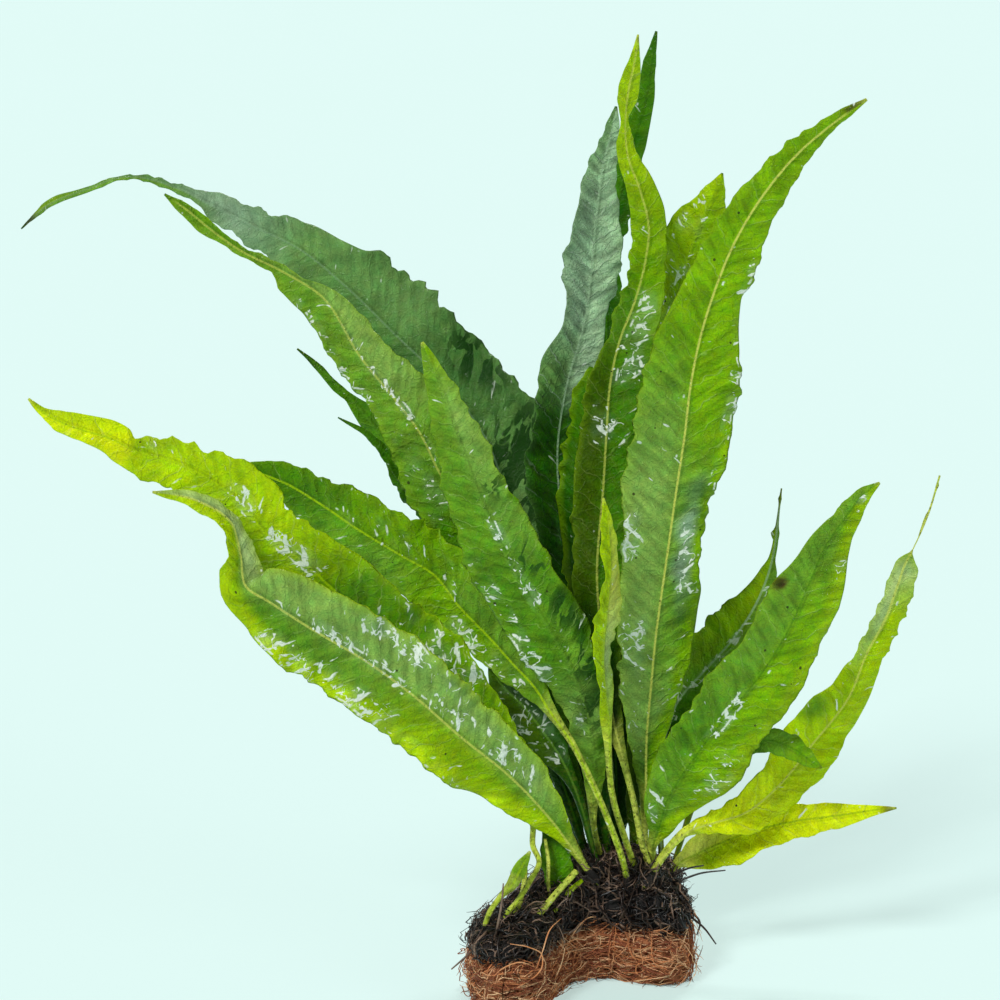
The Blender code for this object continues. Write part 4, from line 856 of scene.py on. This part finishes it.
                  (-42.3, 36, 131, 13, -20), (-52.7, 39, 147, 12, -20), (-61.3, 41, 159, 9, -10),
                  (-71, 42, 169, 4), (-80, 43, 174, 0.8)],
        "tones": [(2, "night"), (5, "bottle"), (8, "deep")],
        "trim": [(1, 1, 1), (2.5, 0.55, 1), (5, 0.55, 1), (6.5, 0.45, 0.5), (8, 0.7, 0.7)],
        "rib": ("deep", 0.5), "margin": ("leaf", 0.4), "skin": "darkWetLeaf", "slot": "dark_leaf",
        "stalk": "bottle",
    },
    "frond_left_string_tip": {
        "route": [(2.5, 13.5, 29, 2.6), (-7, 19, 57, 6), (-20, 30, 88, 10), (-33, 39, 113, 14, -15),
                  (-47, 46, 137, 17, -20), (-58, 51, 154, 16.5, -20), (-68, 55, 168, 11.5, -15),
                  (-76, 57, 177, 6), (-81, 58, 182, 3.4), (-88, 59, 189, 1.9), (-94, 59, 194, 0.8)],
        "tones": [(3, "night"), (4.5, "bottle"), (6, "leaf"), (8, "deep"), (10, "olive")],
        "trim": [(1, 1, 1), (3, 0.8, 1), (4, 0.62, 1), (5.5, 0.62, 1), (6.3, 0.8, 1), (7.2, 0.5, 0.6),
                 (8, 1.3, 0.5), (9, 1.5, 1), (10, 1, 1)],
        "rib": ("leaf", 0.5), "margin": ("leaf", 0.4), "skin": "wetGreenLeaf", "slot": "mature_leaf",
        "stalk": "bottle",
    },
    "frond_right_short": {
        "route": [(30, 13, 26, 2.3), (33, 8.5, 39, 2.3), (40, -1, 62, 4), (50, -7, 74.5, 6.5),
                  (60, -10, 79, 8, -10), (68.5, -11, 76, 7.5, -10), (74, -11, 72, 4), (77, -11, 70, 0.8)],
        "tones": [(2, "bottle"), (4, "grass"), (6, "fresh"), (7, "leaf", "fresh")],
        "rib": ("deep", 0.5), "margin": ("leaf", 0.4), "skin": "darkWetLeaf", "slot": "dark_leaf",
        "stalk": "darkStem",
    },
    "frond_dark_wet": {
        "route": [(6, -3, 33, 2.3), (4, -3, 39, 2.3), (0, -2, 54, 3.4), (-5, -1, 67, 5),
                  (-12, 0, 78, 11, 10), (-19, 1, 87, 13.5, 15), (-26, 2, 94, 8.5, 10), (-30, 2, 100, 1.2)],
        "tones": [(2, "night"), (4, "olive", "bottle"), (7, "olive")],
        "wet": [(3, 6, 0, 1.2, 0.66)],
        "trim": [(2.3, 1, 1), (3, 1.7, 1), (4, 1.4, 1), (5, 1, 1)],
        "rib": ("grass", 0.5), "margin": ("leaf", 0.4), "skin": "darkWetLeaf", "slot": "dark_leaf",
        "stalk": "bottle",
    },
    "young_frond_kneed": {
        "route": [(-27, -37, 25, 2.2), (-26, -36, 27, 2.2), (-21, -32, 32, 2.2), (-17, -27, 37, 2.2),
                  (-14, -22, 42, 2.2), (-16, -18, 46, 2.3), (-16, -16.5, 53, 2.6), (-18, -17, 59, 4.2),
                  (-20, -18, 66, 4.8), (-22, -18.5, 72, 3), (-24, -18.5, 76, 0.8)],
        "tones": [(6, "grass", "leaf"), (8, "leaf"), (10, "apple", "grass")],
        "rib": ("lime", 0.5), "margin": ("lime", 0.5), "skin": "youngYellowLeaf", "slot": "young_stalk",
    },
    "young_frond_narrow": {
        "route": [(-32, -39, 24, 2), (-30, -38, 30, 2.2), (-26, -35, 35, 2.5), (-23, -34, 38, 4.2),
                  (-20, -32, 43, 4.5), (-17, -30, 48, 1)],
        "tones": [(0, "grass"), (3, "leaf"), (5, "grass")],
        "rib": ("lime", 0.5), "margin": ("lime", 0.5), "skin": "youngYellowLeaf", "slot": "young_stalk",
    },
    "young_stalk_thin": {
        "route": [(-24, -33, 25, 2), (-21, -29, 28, 2), (-19.5, -25, 32, 2), (-18.5, -22, 38, 2),
                  (-18.5, -20, 43, 1.6)],
        "tones": [(0, "grass", "apple"), (4, "apple")],
        "skin": "youngYellowLeaf", "slot": "young_stalk",
    },
    "stalk_stub_stout": {
        "route": [(-16, -32, 25, 2.6), (-9, -26, 32, 2.6), (-2, -20, 38, 2.6)],
        "tones": [(0, "grass", "apple"), (2, "apple")],
        "skin": "youngYellowLeaf", "slot": "young_stalk",
    },
    "stalk_bud_yellow": {
        "route": [(-7, -22, 28, 2), (-4, -19, 31, 2.3), (0, -17, 34, 1.6)],
        "tones": [(0, "lime"), (2, "lemon")],
        "skin": "youngYellowLeaf", "slot": "young_stalk", "stalk": "lime",
    },
    "stalk_upright_thin": {
        "route": [(-10, -21, 27, 1.6), (-11, -20, 34, 1.6), (-11, -18, 41, 1.6), (-12, -15.5, 47.5, 1.3)],
        "tones": [(0, "grass", "apple"), (3, "apple")],
        "skin": "youngYellowLeaf", "slot": "young_stalk",
    },
    "frond_base_dark": {
        "route": [(-8, -16, 26, 2.3), (-8, -15, 30, 6.5), (-8, -14, 37, 9.5), (-9, -13, 45, 9),
                  (-10, -12, 51, 5.2), (-11, -12, 55, 0.8)],
        "tones": [(0, "olive", "deep"), (5, "deep", "leaf")],
        "rib": ("deep", 0.5), "margin": ("leaf", 0.4), "skin": "darkWetLeaf", "slot": "dark_leaf",
    },
}
for number, (node, leaf) in enumerate(leaves.items()):
    makeLeaf(node, leaf, number)
print("leaves ready:", len(leaves))


# Pad and root clump. Stations along the pad, left to right: front edge (x, y), back edge (x, y), and the
# height of the roots' crest
padStations = [
    ((-33, -44), (-35, -32), 20), ((-30, -48.5), (-35.5, -24), 22.5), ((-22, -52), (-32, -14), 24.5),
    ((-14.5, -45), (-25, -2), 26), ((-10, -34), (-17, 10), 28), ((-6, -25.5), (-9, 19), 31),
    ((0, -18.5), (1, 25), 34), ((8, -16.5), (11, 27), 34), ((16, -19.5), (19, 26), 33.5),
    ((23, -22.5), (27, 22), 31), ((29, -22.5), (32, 13), 24.5), ((33.5, -18.5), (35, 5), 19),
]
coirPad = {
    "height": 17.0, "rings": 90,
    "inset": 1.5,                # the core lies this far inside, to leave room for the fibres
    "lump": 1.1,                 # how far its sides swell and sink
    # strands, lengths, radii (drawn a little thicker than real coir), stray, lift, rise of the free ends, how
    # far they turn from the pad's own direction, seed
    "layers": {
        "laid": (2600, (12.0, 38.0), (0.14, 0.28), 3.2, 1.8, 0.8, 0.24, 5),
        "loose": (1100, (7.0, 22.0), (0.12, 0.21), 5.0, 3.0, 3.0, 1.0, 6),
    },
    "standing": [                # single fibres that arch clear of the rest
        [(-23.4, -50, 24), (-17.4, -50.5, 23), (-13.3, -48, 19.5), (-13.5, -48, 15), (-18, -50.5, 11.5),
         (-21.5, -52, 10)],
        [(-16, -47, 12), (-13, -45, 20), (-11, -41, 25), (-7, -34, 27)],
        [(-30, -48, 9), (-27, -50.5, 15), (-21, -52, 18.5), (-15, -47, 15)],
        [(-6, -26, 12), (-3, -21, 17), (2, -16.5, 21), (7, -13, 20)],
        [(30, -21.5, 9), (33, -20, 15), (34.5, -15, 19), (33, -9, 18)],
        [(12, -14, 8), (17, -16.5, 13), (24, -20.5, 16.5), (29, -23, 12)],
    ],
    "standingThick": [0.1, 0.2, 0.22, 0.2, 0.08],
}
rootClump = {
    "rings": 70, "inset": 1.2, "lump": 2.0,
    "sunk": 0.4, "strandsSunk": 0.5, "crown": 0.6,     # how far they reach into the pad and over the crest
    "layers": {
        "laid": (1150, (6.0, 24.0), (0.18, 0.52), 5.0, 2.4, 1.2, 1.2, 8),
        "loose": (750, (6.0, 18.0), (0.1, 0.22), 7.0, 3.2, 4.0, 3.0, 9),
        "collars": (1200, (3.0, 11.0), (0.13, 0.34), 3.5, 1.8, 2.4, 1.0, 12),
    },
    "rootThick": 0.45, "rootTaper": [1, 0.9, 0.75, 0.5],
    # mounds of scales and fine roots round each stalk's foot: from, to along the stalk, and how wide
    "collarFrom": -2.5, "collarTo": 5.0, "collarWide": [3.6, 2.6, 1.3],
    "innerShare": 0.55,          # the bare core of each mound against its strands
}
rhizome = [
    (-33, -38, 22, 1.6), (-30, -36, 24, 3.0), (-25, -33, 24, 2.0), (-16, -26, 26, 2.8), (-9, -17, 28, 2.2),
    (-2, -8, 31, 3.0), (6, -2, 33, 2.4), (14, 1, 33, 3.0), (22, 2, 32, 2.4), (28, 1, 28, 2.6),
    (31, 0, 23.5, 1.4),
]
looseRoots = [
    [(26, -2, 27), (32, -4, 29.5), (39, -4, 32), (47, -4, 33)],
    [(26, 0, 26), (30, -1, 30), (35, -2, 33), (40, -2, 34)],
    [(28, -3, 23), (35, -5, 18), (40, -6, 14), (44, -8, 9)],
    [(29, 1, 21), (36, 0, 17.5), (39, -1, 14), (38, -2, 10)],
    [(-30, -37, 23), (-34, -40, 19.5), (-38, -42.5, 16.5), (-42, -43, 13)],
    [(-29, -42, 20), (-27, -42.5, 29), (-26, -42, 35), (-25.5, -41, 41)],
]


def strandMaterial(name, dark, middle, light, rough, bumpSize):
    # three tones picked by strand, in patches of 4.5 mm, and grain of 0.7 mm
    material, tree = newMaterial(name)
    tone = addNode(tree, "ShaderNodeAttribute", {"attribute_name": "strandTone"}).outputs["Fac"]
    coords = addNode(tree, "ShaderNodeTexCoord").outputs["Object"]
    patchy = addNode(tree, "ShaderNodeTexNoise", None, {"Vector": coords, "Scale": 220.0, "Detail": 3.0})
    grain = addNode(tree, "ShaderNodeTexNoise", None, {"Vector": coords, "Scale": 1400.0, "Detail": 2.0})
    mixed = addNode(tree, "ShaderNodeMath", {"operation": "MULTIPLY_ADD"}, [patchy, 0.7, tone])
    ramp = addNode(tree, "ShaderNodeValToRGB", None, [mixed])
    stops = ramp.color_ramp.elements
    stops[0].position, stops[0].color = 0.25, rgba(dark)
    stops[1].position, stops[1].color = 1.3 / 1.4, rgba(light)
    between = stops.new(0.62)
    between.color = rgba(middle)
    bump = addNode(tree, "ShaderNodeBump", None,
                   {"Strength": 0.5, "Distance": bumpSize * mm, "Height": grain})
    shader = addNode(tree, "ShaderNodeBsdfPrincipled", None,
                     {"Base Color": ramp, "Roughness": rough, "Normal": bump})
    addNode(tree, "ShaderNodeOutputMaterial", None, {"Surface": shader})
    return material


# Coconut coir: coarse dry husk fibre, red-brown and matte, each strand its own shade, dark between them
coirFibre = strandMaterial("matCoirFibre", "#8a482a", "#d98a54", "#f0c394", 0.75, 0.1)
coirDust = strandMaterial("darkCoirDust", "#7d4c30", "#b07048", "#cc9062", 0.95, 0.4)
# Fern root: wiry, nearly black, damp, so its edges catch small grey lights. Its lightest strands are partly
# the root's own brown and partly painted highlight
wiryRoot = strandMaterial("wiryBlackRoot", "#0b0808", "#34261f", "#8a6f5c", 0.35, 0.1)
peatyMat = strandMaterial("peatyRootMat", "#080605", "#15100d", "#241b15", 0.8, 0.5)
# Fern rhizome: a green-brown creeping stem under dark scales
scalyRhizome = strandMaterial("scalyRhizome", "#1a140c", "#4a4a1c", "#a3ac4a", 0.45, 0.4)


def padRows(count):
    rows = smoothRows([(*front, 0, *back, crest) for front, back, crest in padStations])
    index = np.linspace(0, len(rows) - 1, count)
    return np.stack([np.interp(index, np.arange(len(rows)), rows[:, k]) for k in range(rows.shape[1])], 1)


def lumps(points, size):
    # smooth hills and hollows, about 9 mm across, from crossing waves
    waves = [(0.71, 0.33, 0.52, 0.3), (-0.42, 0.81, 0.37, 1.9), (0.23, -0.55, 0.93, 4.1),
             (1.3, 0.9, -0.7, 2.6)]
    return size * sum(np.sin(points @ np.array(wave[:3]) + wave[3]) for wave in waves) / 2


def bandMesh(name, outline, count, bottom, top, inset, lump):
    # a core that follows the pad, with the direction along it kept for the fibres
    rows = padRows(count)
    front = np.c_[rows[:, :2], np.zeros(count)]
    back = np.c_[rows[:, 3:5], np.zeros(count)]
    wide = np.linalg.norm(back - front, axis=1)
    rings = []
    for i in range(count):
        ends = 1 - inset / wide[i]
        low, high = bottom(rows[i]), top(rows[i]) - inset
        ring = []
        for share, level in outline:
            across = 0.5 + (share - 0.5) * ends
            height = np.array([0, 0, low + (high - low) * level])
            ring.append(front[i] * (1 - across) + back[i] * across + height)
        rings.append(ring)
    rings = np.array(rings)
    for end in (0, -1):      # the two ends are rounded off
        middle = rings[end].mean(0)
        rings[end] = middle + (rings[end] - middle) * 0.8
    outwards = unit(rings - rings.mean(1, keepdims=True))
    raised = np.array([level > 0 for _, level in outline])[None, :]
    rings = rings + outwards * (lumps(rings, lump) * raised)[..., None]
    mesh = ringMesh(name, rings)
    along = unit(np.gradient(rings.mean(1), axis=0))
    flow = np.repeat(along, len(outline), axis=0)
    mesh.attributes.new("flow", "FLOAT_VECTOR", "POINT").data.foreach_set("vector", flow.ravel())
    return mesh


def strandTree():
    # Geometry Nodes: strands laid along a surface, wandering over it and lifting at random
    tree = bpy.data.node_groups.new("strandsOnSurface", "GeometryNodeTree")
    tree.interface.new_socket("Geometry", in_out="INPUT", socket_type="NodeSocketGeometry")
    for name in ("Density", "Shortest", "Longest", "Thinnest", "Thickest", "Stray", "Lift", "Rise", "Turn"):
        tree.interface.new_socket(name, in_out="INPUT", socket_type="NodeSocketFloat")
    tree.interface.new_socket("Seed", in_out="INPUT", socket_type="NodeSocketInt")
    tree.interface.new_socket("Material", in_out="INPUT", socket_type="NodeSocketMaterial")
    tree.interface.new_socket("Geometry", in_out="OUTPUT", socket_type="NodeSocketGeometry")
    given = addNode(tree, "NodeGroupInput").outputs

    # points on the surface, each with its own shade, lift and thickness
    points = addNode(tree, "GeometryNodeDistributePointsOnFaces", None,
                     {"Mesh": given["Geometry"], "Density": given["Density"], "Seed": given["Seed"]})
    for name, low, high, seed in (("strandTone", -0.35, 0.65, 11), ("strandLift", 0.0, 1.0, 12),
                                  ("strandThick", given["Thinnest"], given["Thickest"], 13)):
        value = addNode(tree, "FunctionNodeRandomValue", {"data_type": "FLOAT"}, {2: low, 3: high, 8: seed})
        points = addNode(tree, "GeometryNodeStoreNamedAttribute", {"data_type": "FLOAT", "domain": "POINT"},
                         {"Geometry": points, "Name": name, "Value": value.outputs[1]})
    flow, ownLift, ownThick = (
        addNode(tree, "GeometryNodeInputNamedAttribute", {"data_type": kind}, {"Name": name})
        for name, kind in (("flow", "FLOAT_VECTOR"), ("strandLift", "FLOAT"), ("strandThick", "FLOAT")))

    # a straight line on each, turned from the surface's own direction by chance
    away = addNode(tree, "FunctionNodeRandomValue", {"data_type": "FLOAT_VECTOR"},
                   {0: (-1.0, -1.0, -1.0), 1: (1.0, 1.0, 1.0), 8: 14})
    away = addNode(tree, "ShaderNodeVectorMath", {"operation": "MULTIPLY"}, [away, given["Turn"]])
    heading = addNode(tree, "ShaderNodeVectorMath", {"operation": "ADD"}, [flow, away])
    turned = addNode(tree, "FunctionNodeAlignRotationToVector", {"axis": "X"}, {"Vector": heading})
    line = addNode(tree, "GeometryNodeCurvePrimitiveLine", None,
                   {"Start": (-0.5, 0.0, 0.0), "End": (0.5, 0.0, 0.0)})
    size = addNode(tree, "FunctionNodeRandomValue", {"data_type": "FLOAT"},
                   {2: given["Shortest"], 3: given["Longest"], 8: 15}).outputs[1]
    placed = addNode(tree, "GeometryNodeInstanceOnPoints", None,
                     {"Points": points, "Instance": line, "Rotation": turned, "Scale": size})
    real = addNode(tree, "GeometryNodeRealizeInstances", None, [placed])
    fine = addNode(tree, "GeometryNodeResampleCurve", None, {"Curve": real, "Count": 13})

    # the line wanders, in waves of about 11 mm that differ from strand to strand
    place = addNode(tree, "GeometryNodeInputPosition")
    shift = addNode(tree, "ShaderNodeVectorMath", {"operation": "MULTIPLY"}, [ownLift, (0.37, 0.61, 0.83)])
    where = addNode(tree, "ShaderNodeVectorMath", {"operation": "ADD"}, [place, shift])
    drift = addNode(tree, "ShaderNodeTexNoise", None, {"Vector": where, "Scale": 90.0, "Detail": 1.0})
    drift = addNode(tree, "ShaderNodeVectorMath", {"operation": "SUBTRACT"},
                    [drift.outputs["Color"], (0.5, 0.5, 0.5)])
    drift = addNode(tree, "ShaderNodeVectorMath", {"operation": "MULTIPLY"}, [drift, given["Stray"]])
    drift = addNode(tree, "ShaderNodeVectorMath", {"operation": "MULTIPLY"}, [drift, (2.0, 2.0, 2.0)])
    loose = addNode(tree, "GeometryNodeSetPosition", None, {"Geometry": fine, "Offset": drift})

    # back onto the surface, at its own height: it ripples in waves of about 6 mm, and one end may stand free
    near = addNode(tree, "GeometryNodeProximity", {"target_element": "FACES"}, [given["Geometry"]])
    normal = addNode(tree, "GeometryNodeInputNormal")
    facing = addNode(tree, "GeometryNodeSampleNearestSurface", {"data_type": "FLOAT_VECTOR"},
                     {"Mesh": given["Geometry"], "Value": normal})
    along = addNode(tree, "GeometryNodeSplineParameter").outputs["Factor"]
    where = addNode(tree, "ShaderNodeVectorMath", {"operation": "MULTIPLY"}, [shift, (3.0, 3.0, 3.0)])
    where = addNode(tree, "ShaderNodeVectorMath", {"operation": "ADD"}, [place, where])
    ripple = addNode(tree, "ShaderNodeTexNoise", None, {"Vector": where, "Scale": 160.0, "Detail": 1.0})
    height = addNode(tree, "ShaderNodeMath", {"operation": "MULTIPLY"}, [ripple, 1.2])
    height = addNode(tree, "ShaderNodeMath", {"operation": "ADD"}, [ownLift, height])
    height = addNode(tree, "ShaderNodeMath", {"operation": "MULTIPLY"}, [given["Lift"], height])
    sunk = addNode(tree, "ShaderNodeMath", {"operation": "MULTIPLY"}, [given["Lift"], 0.6])
    height = addNode(tree, "ShaderNodeMath", {"operation": "SUBTRACT"}, [height, sunk])
    free = addNode(tree, "ShaderNodeMath", {"operation": "POWER"}, [along, 2.0])
    free = addNode(tree, "ShaderNodeMath", {"operation": "MULTIPLY"}, [free, ownLift])
    height = addNode(tree, "ShaderNodeMath", {"operation": "MULTIPLY_ADD"}, [free, given["Rise"], height])
    lifted = addNode(tree, "ShaderNodeVectorMath", {"operation": "MULTIPLY"}, [facing, height])
    lifted = addNode(tree, "ShaderNodeVectorMath", {"operation": "ADD"}, [near, lifted])
    laid = addNode(tree, "GeometryNodeSetPosition", None, {"Geometry": loose, "Position": lifted})

    # three-sided, thinner towards its ends
    ends = addNode(tree, "ShaderNodeMath", {"operation": "MULTIPLY"}, [along, math.pi])
    ends = addNode(tree, "ShaderNodeMath", {"operation": "SINE"}, [ends])
    ends = addNode(tree, "ShaderNodeMath", {"operation": "POWER"}, [ends, 0.5])
    width = addNode(tree, "ShaderNodeMath", {"operation": "MULTIPLY"}, [ends, 0.75])
    width = addNode(tree, "ShaderNodeMath", {"operation": "ADD"}, [width, 0.25])
    width = addNode(tree, "ShaderNodeMath", {"operation": "MULTIPLY"}, [ownThick, width])
    section = addNode(tree, "GeometryNodeCurvePrimitiveCircle", None, {0: 3, 4: 1.0})
    solid = addNode(tree, "GeometryNodeCurveToMesh", None,
                    {"Curve": laid, "Profile Curve": section, "Scale": width, "Fill Caps": True})
    real = addNode(tree, "GeometryNodeRealizeInstances", None, [solid])
    dressed = addNode(tree, "GeometryNodeSetMaterial", None, {0: real, "Material": given["Material"]})
    addNode(tree, "NodeGroupOutput", None, [dressed])
    return tree


strandsOnSurface = strandTree()


def layStrands(name, core, material, layer):
    # one mesh of strands over a core
    count, length, thick, stray, lift, rise, turn, seed = layer
    area = sum(face.area for face in core.polygons)
    carrier = addPiece(name + "Carrier", core.copy())
    step = carrier.modifiers.new("strands", "NODES")
    step.node_group = strandsOnSurface
    values = {"Density": count / area, "Shortest": length[0] * mm, "Longest": length[1] * mm,
              "Thinnest": thick[0] * mm, "Thickest": thick[1] * mm, "Stray": stray * mm, "Lift": lift * mm,
              "Rise": rise * mm, "Turn": turn, "Seed": seed, "Material": material}
    for item in strandsOnSurface.interface.items_tree:
        if item.in_out == "INPUT" and item.name in values:
            step[item.identifier] = values[item.name]
    bpy.context.view_layer.update()
    evaluated = carrier.evaluated_get(bpy.context.evaluated_depsgraph_get())
    mesh = bpy.data.meshes.new_from_object(evaluated)
    mesh.name = name
    bpy.data.objects.remove(carrier)
    return mesh


def keepIn(mesh, low=0.0):
    # strands stay inside the object's box and above the resting face
    v = np.zeros(len(mesh.vertices) * 3)
    mesh.vertices.foreach_get("co", v)
    v = insideBox(v.reshape(-1, 3) / mm)
    v[:, 2] = np.maximum(v[:, 2], low)
    mesh.vertices.foreach_set("co", (v * mm).ravel())
    mesh.update()


def tube(points, thick, sides=6):
    # rings of a thin round root; thick may change along it
    rows = smoothRows(points, 8)
    side, face = routeAxes(rows[:, :3], np.zeros(len(rows)))
    size = np.interp(np.linspace(0, 1, len(rows)), np.linspace(0, 1, len(thick)), thick)
    angle = np.arange(sides) * 2 * np.pi / sides
    ring = side[:, None] * np.cos(angle)[None, :, None] + face[:, None] * np.sin(angle)[None, :, None]
    return rows[:, None, :3] + ring * size[:, None, None]


def joinMeshes(name, meshes):
    # several meshes as one, with their materials and attributes
    parts = [addPiece(name + str(k), mesh) for k, mesh in enumerate(meshes)]
    with bpy.context.temp_override(active_object=parts[0], selected_editable_objects=parts):
        bpy.ops.object.join()
    mesh = parts[0].data
    bpy.data.objects.remove(parts[0])
    mesh.name = name
    return mesh


def tinted(mesh, material, tone):
    mesh.materials.clear()
    mesh.materials.append(material)
    mesh.attributes.new("strandTone", "FLOAT", "POINT").data.foreach_set("value", tone)
    return mesh


def makePad():
    outline = [(0.03, 0), (0.35, 0), (0.65, 0), (0.97, 0), (1.0, 0.12), (1.01, 0.35), (1.0, 0.7),
               (0.97, 0.9), (0.92, 1), (0.65, 1), (0.35, 1), (0.08, 1), (0.03, 0.9), (0.0, 0.7),
               (-0.01, 0.35), (0.0, 0.12)]
    core = bandMesh("coirPadCore", outline, coirPad["rings"], lambda row: 0.0, lambda row: coirPad["height"],
                    coirPad["inset"], coirPad["lump"])
    shown = {"coirPadCore": core}
    for layer, values in coirPad["layers"].items():
        fibres = layStrands("coirFibres" + layer.capitalize(), core, coirFibre, values)
        if layer == "loose":
            single = []
            for k, route in enumerate(coirPad["standing"]):
                mesh = ringMesh("standingFibre", tube(route, coirPad["standingThick"]))
                single.append(tinted(mesh, coirFibre, np.full(len(mesh.vertices), 0.3 + 0.05 * k)))
            fibres = joinMeshes(fibres.name, [fibres] + single)
        keepIn(fibres)
        shown[fibres.name] = fibres
    tinted(core, coirDust, np.full(len(core.vertices), 0.2))
    for name, mesh in shown.items():
        piece = addPiece(name, mesh)
        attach(piece, "root")
        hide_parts("coir_pad")


def makeCollars(share):
    # cones round the stalks' feet, each with its stalk's direction kept for the strands
    cones = []
    for leaf in leaves.values():
        foot, second = (np.array(row[:3], float) for row in leaf["route"][:2])
        along = unit(second - foot)
        stations = np.linspace(rootClump["collarFrom"], rootClump["collarTo"], 3)
        thick = np.array(rootClump["collarWide"]) * share * leaf["route"][0][3] / leafShape["stalkWidth"]
        mesh = ringMesh("collar", tube(foot + along * stations[:, None], thick, 9))
        flow = np.tile(along, len(mesh.vertices))
        mesh.attributes.new("flow", "FLOAT_VECTOR", "POINT").data.foreach_set("vector", flow)
        cones.append(mesh)
    return joinMeshes("collars", cones)


def makeRoots():
    outline = [(0.12, 0), (0.4, 0), (0.66, 0), (0.9, 0), (0.94, 0.15), (0.95, 0.35), (0.88, 0.75),
               (0.78, 0.93), (0.65, 1), (0.5, 1.02), (0.38, 1.0), (0.26, 0.93), (0.16, 0.82), (0.07, 0.4),
               (0.08, 0.15)]
    low = coirPad["height"] - rootClump["sunk"]
    core = bandMesh("rootClumpCore", outline, rootClump["rings"], lambda row: low,
                    lambda row: row[5] + rootClump["crown"], rootClump["inset"], rootClump["lump"])
    shown = {}
    collars, innerCollars = makeCollars(1.0), makeCollars(rootClump["innerShare"])
    for layer, values in rootClump["layers"].items():
        under = collars if layer == "collars" else core
        strands = layStrands("rootStrands" + layer.capitalize(), under, wiryRoot, values)
        keepIn(strands, coirPad["height"] - rootClump["strandsSunk"])
        shown[strands.name] = strands
    tinted(core, peatyMat, np.full(len(core.vertices), 0.2))
    solid = [tinted(innerCollars, peatyMat, np.full(len(innerCollars.vertices), 0.4))]
    thick = np.array(rootClump["rootTaper"]) * rootClump["rootThick"]
    for k, route in enumerate(looseRoots):
        mesh = ringMesh("looseRoot", tube(route, thick))
        solid.append(tinted(mesh, wiryRoot, np.full(len(mesh.vertices), 0.1 * k)))
    rows = smoothRows(rhizome)
    knobs = rows[:, 3] * (1 + 0.1 * np.sin(np.arange(len(rows)) / 3.0))     # old leaf scars
    mesh = ringMesh("rhizome", tube(rhizome, knobs, 10))
    solid.append(tinted(mesh, scalyRhizome, np.full(len(mesh.vertices), 0.1)))
    shown["rootClumpCore"] = joinMeshes("rootClumpCore", [core] + solid)
    for name, mesh in shown.items():
        piece = addPiece(name, mesh)
        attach(piece, "root")
        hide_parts("root_clump")


makePad()
makeRoots()
print("pad and roots ready")

counts = {piece.name: sum(len(face.vertices) - 2 for face in piece.data.polygons)
          for piece in bpy.context.scene.objects if piece.type == "MESH" and not piece.hide_render}
print("triangles:", sum(counts.values()), "most:", max(counts, key=counts.get), max(counts.values()))
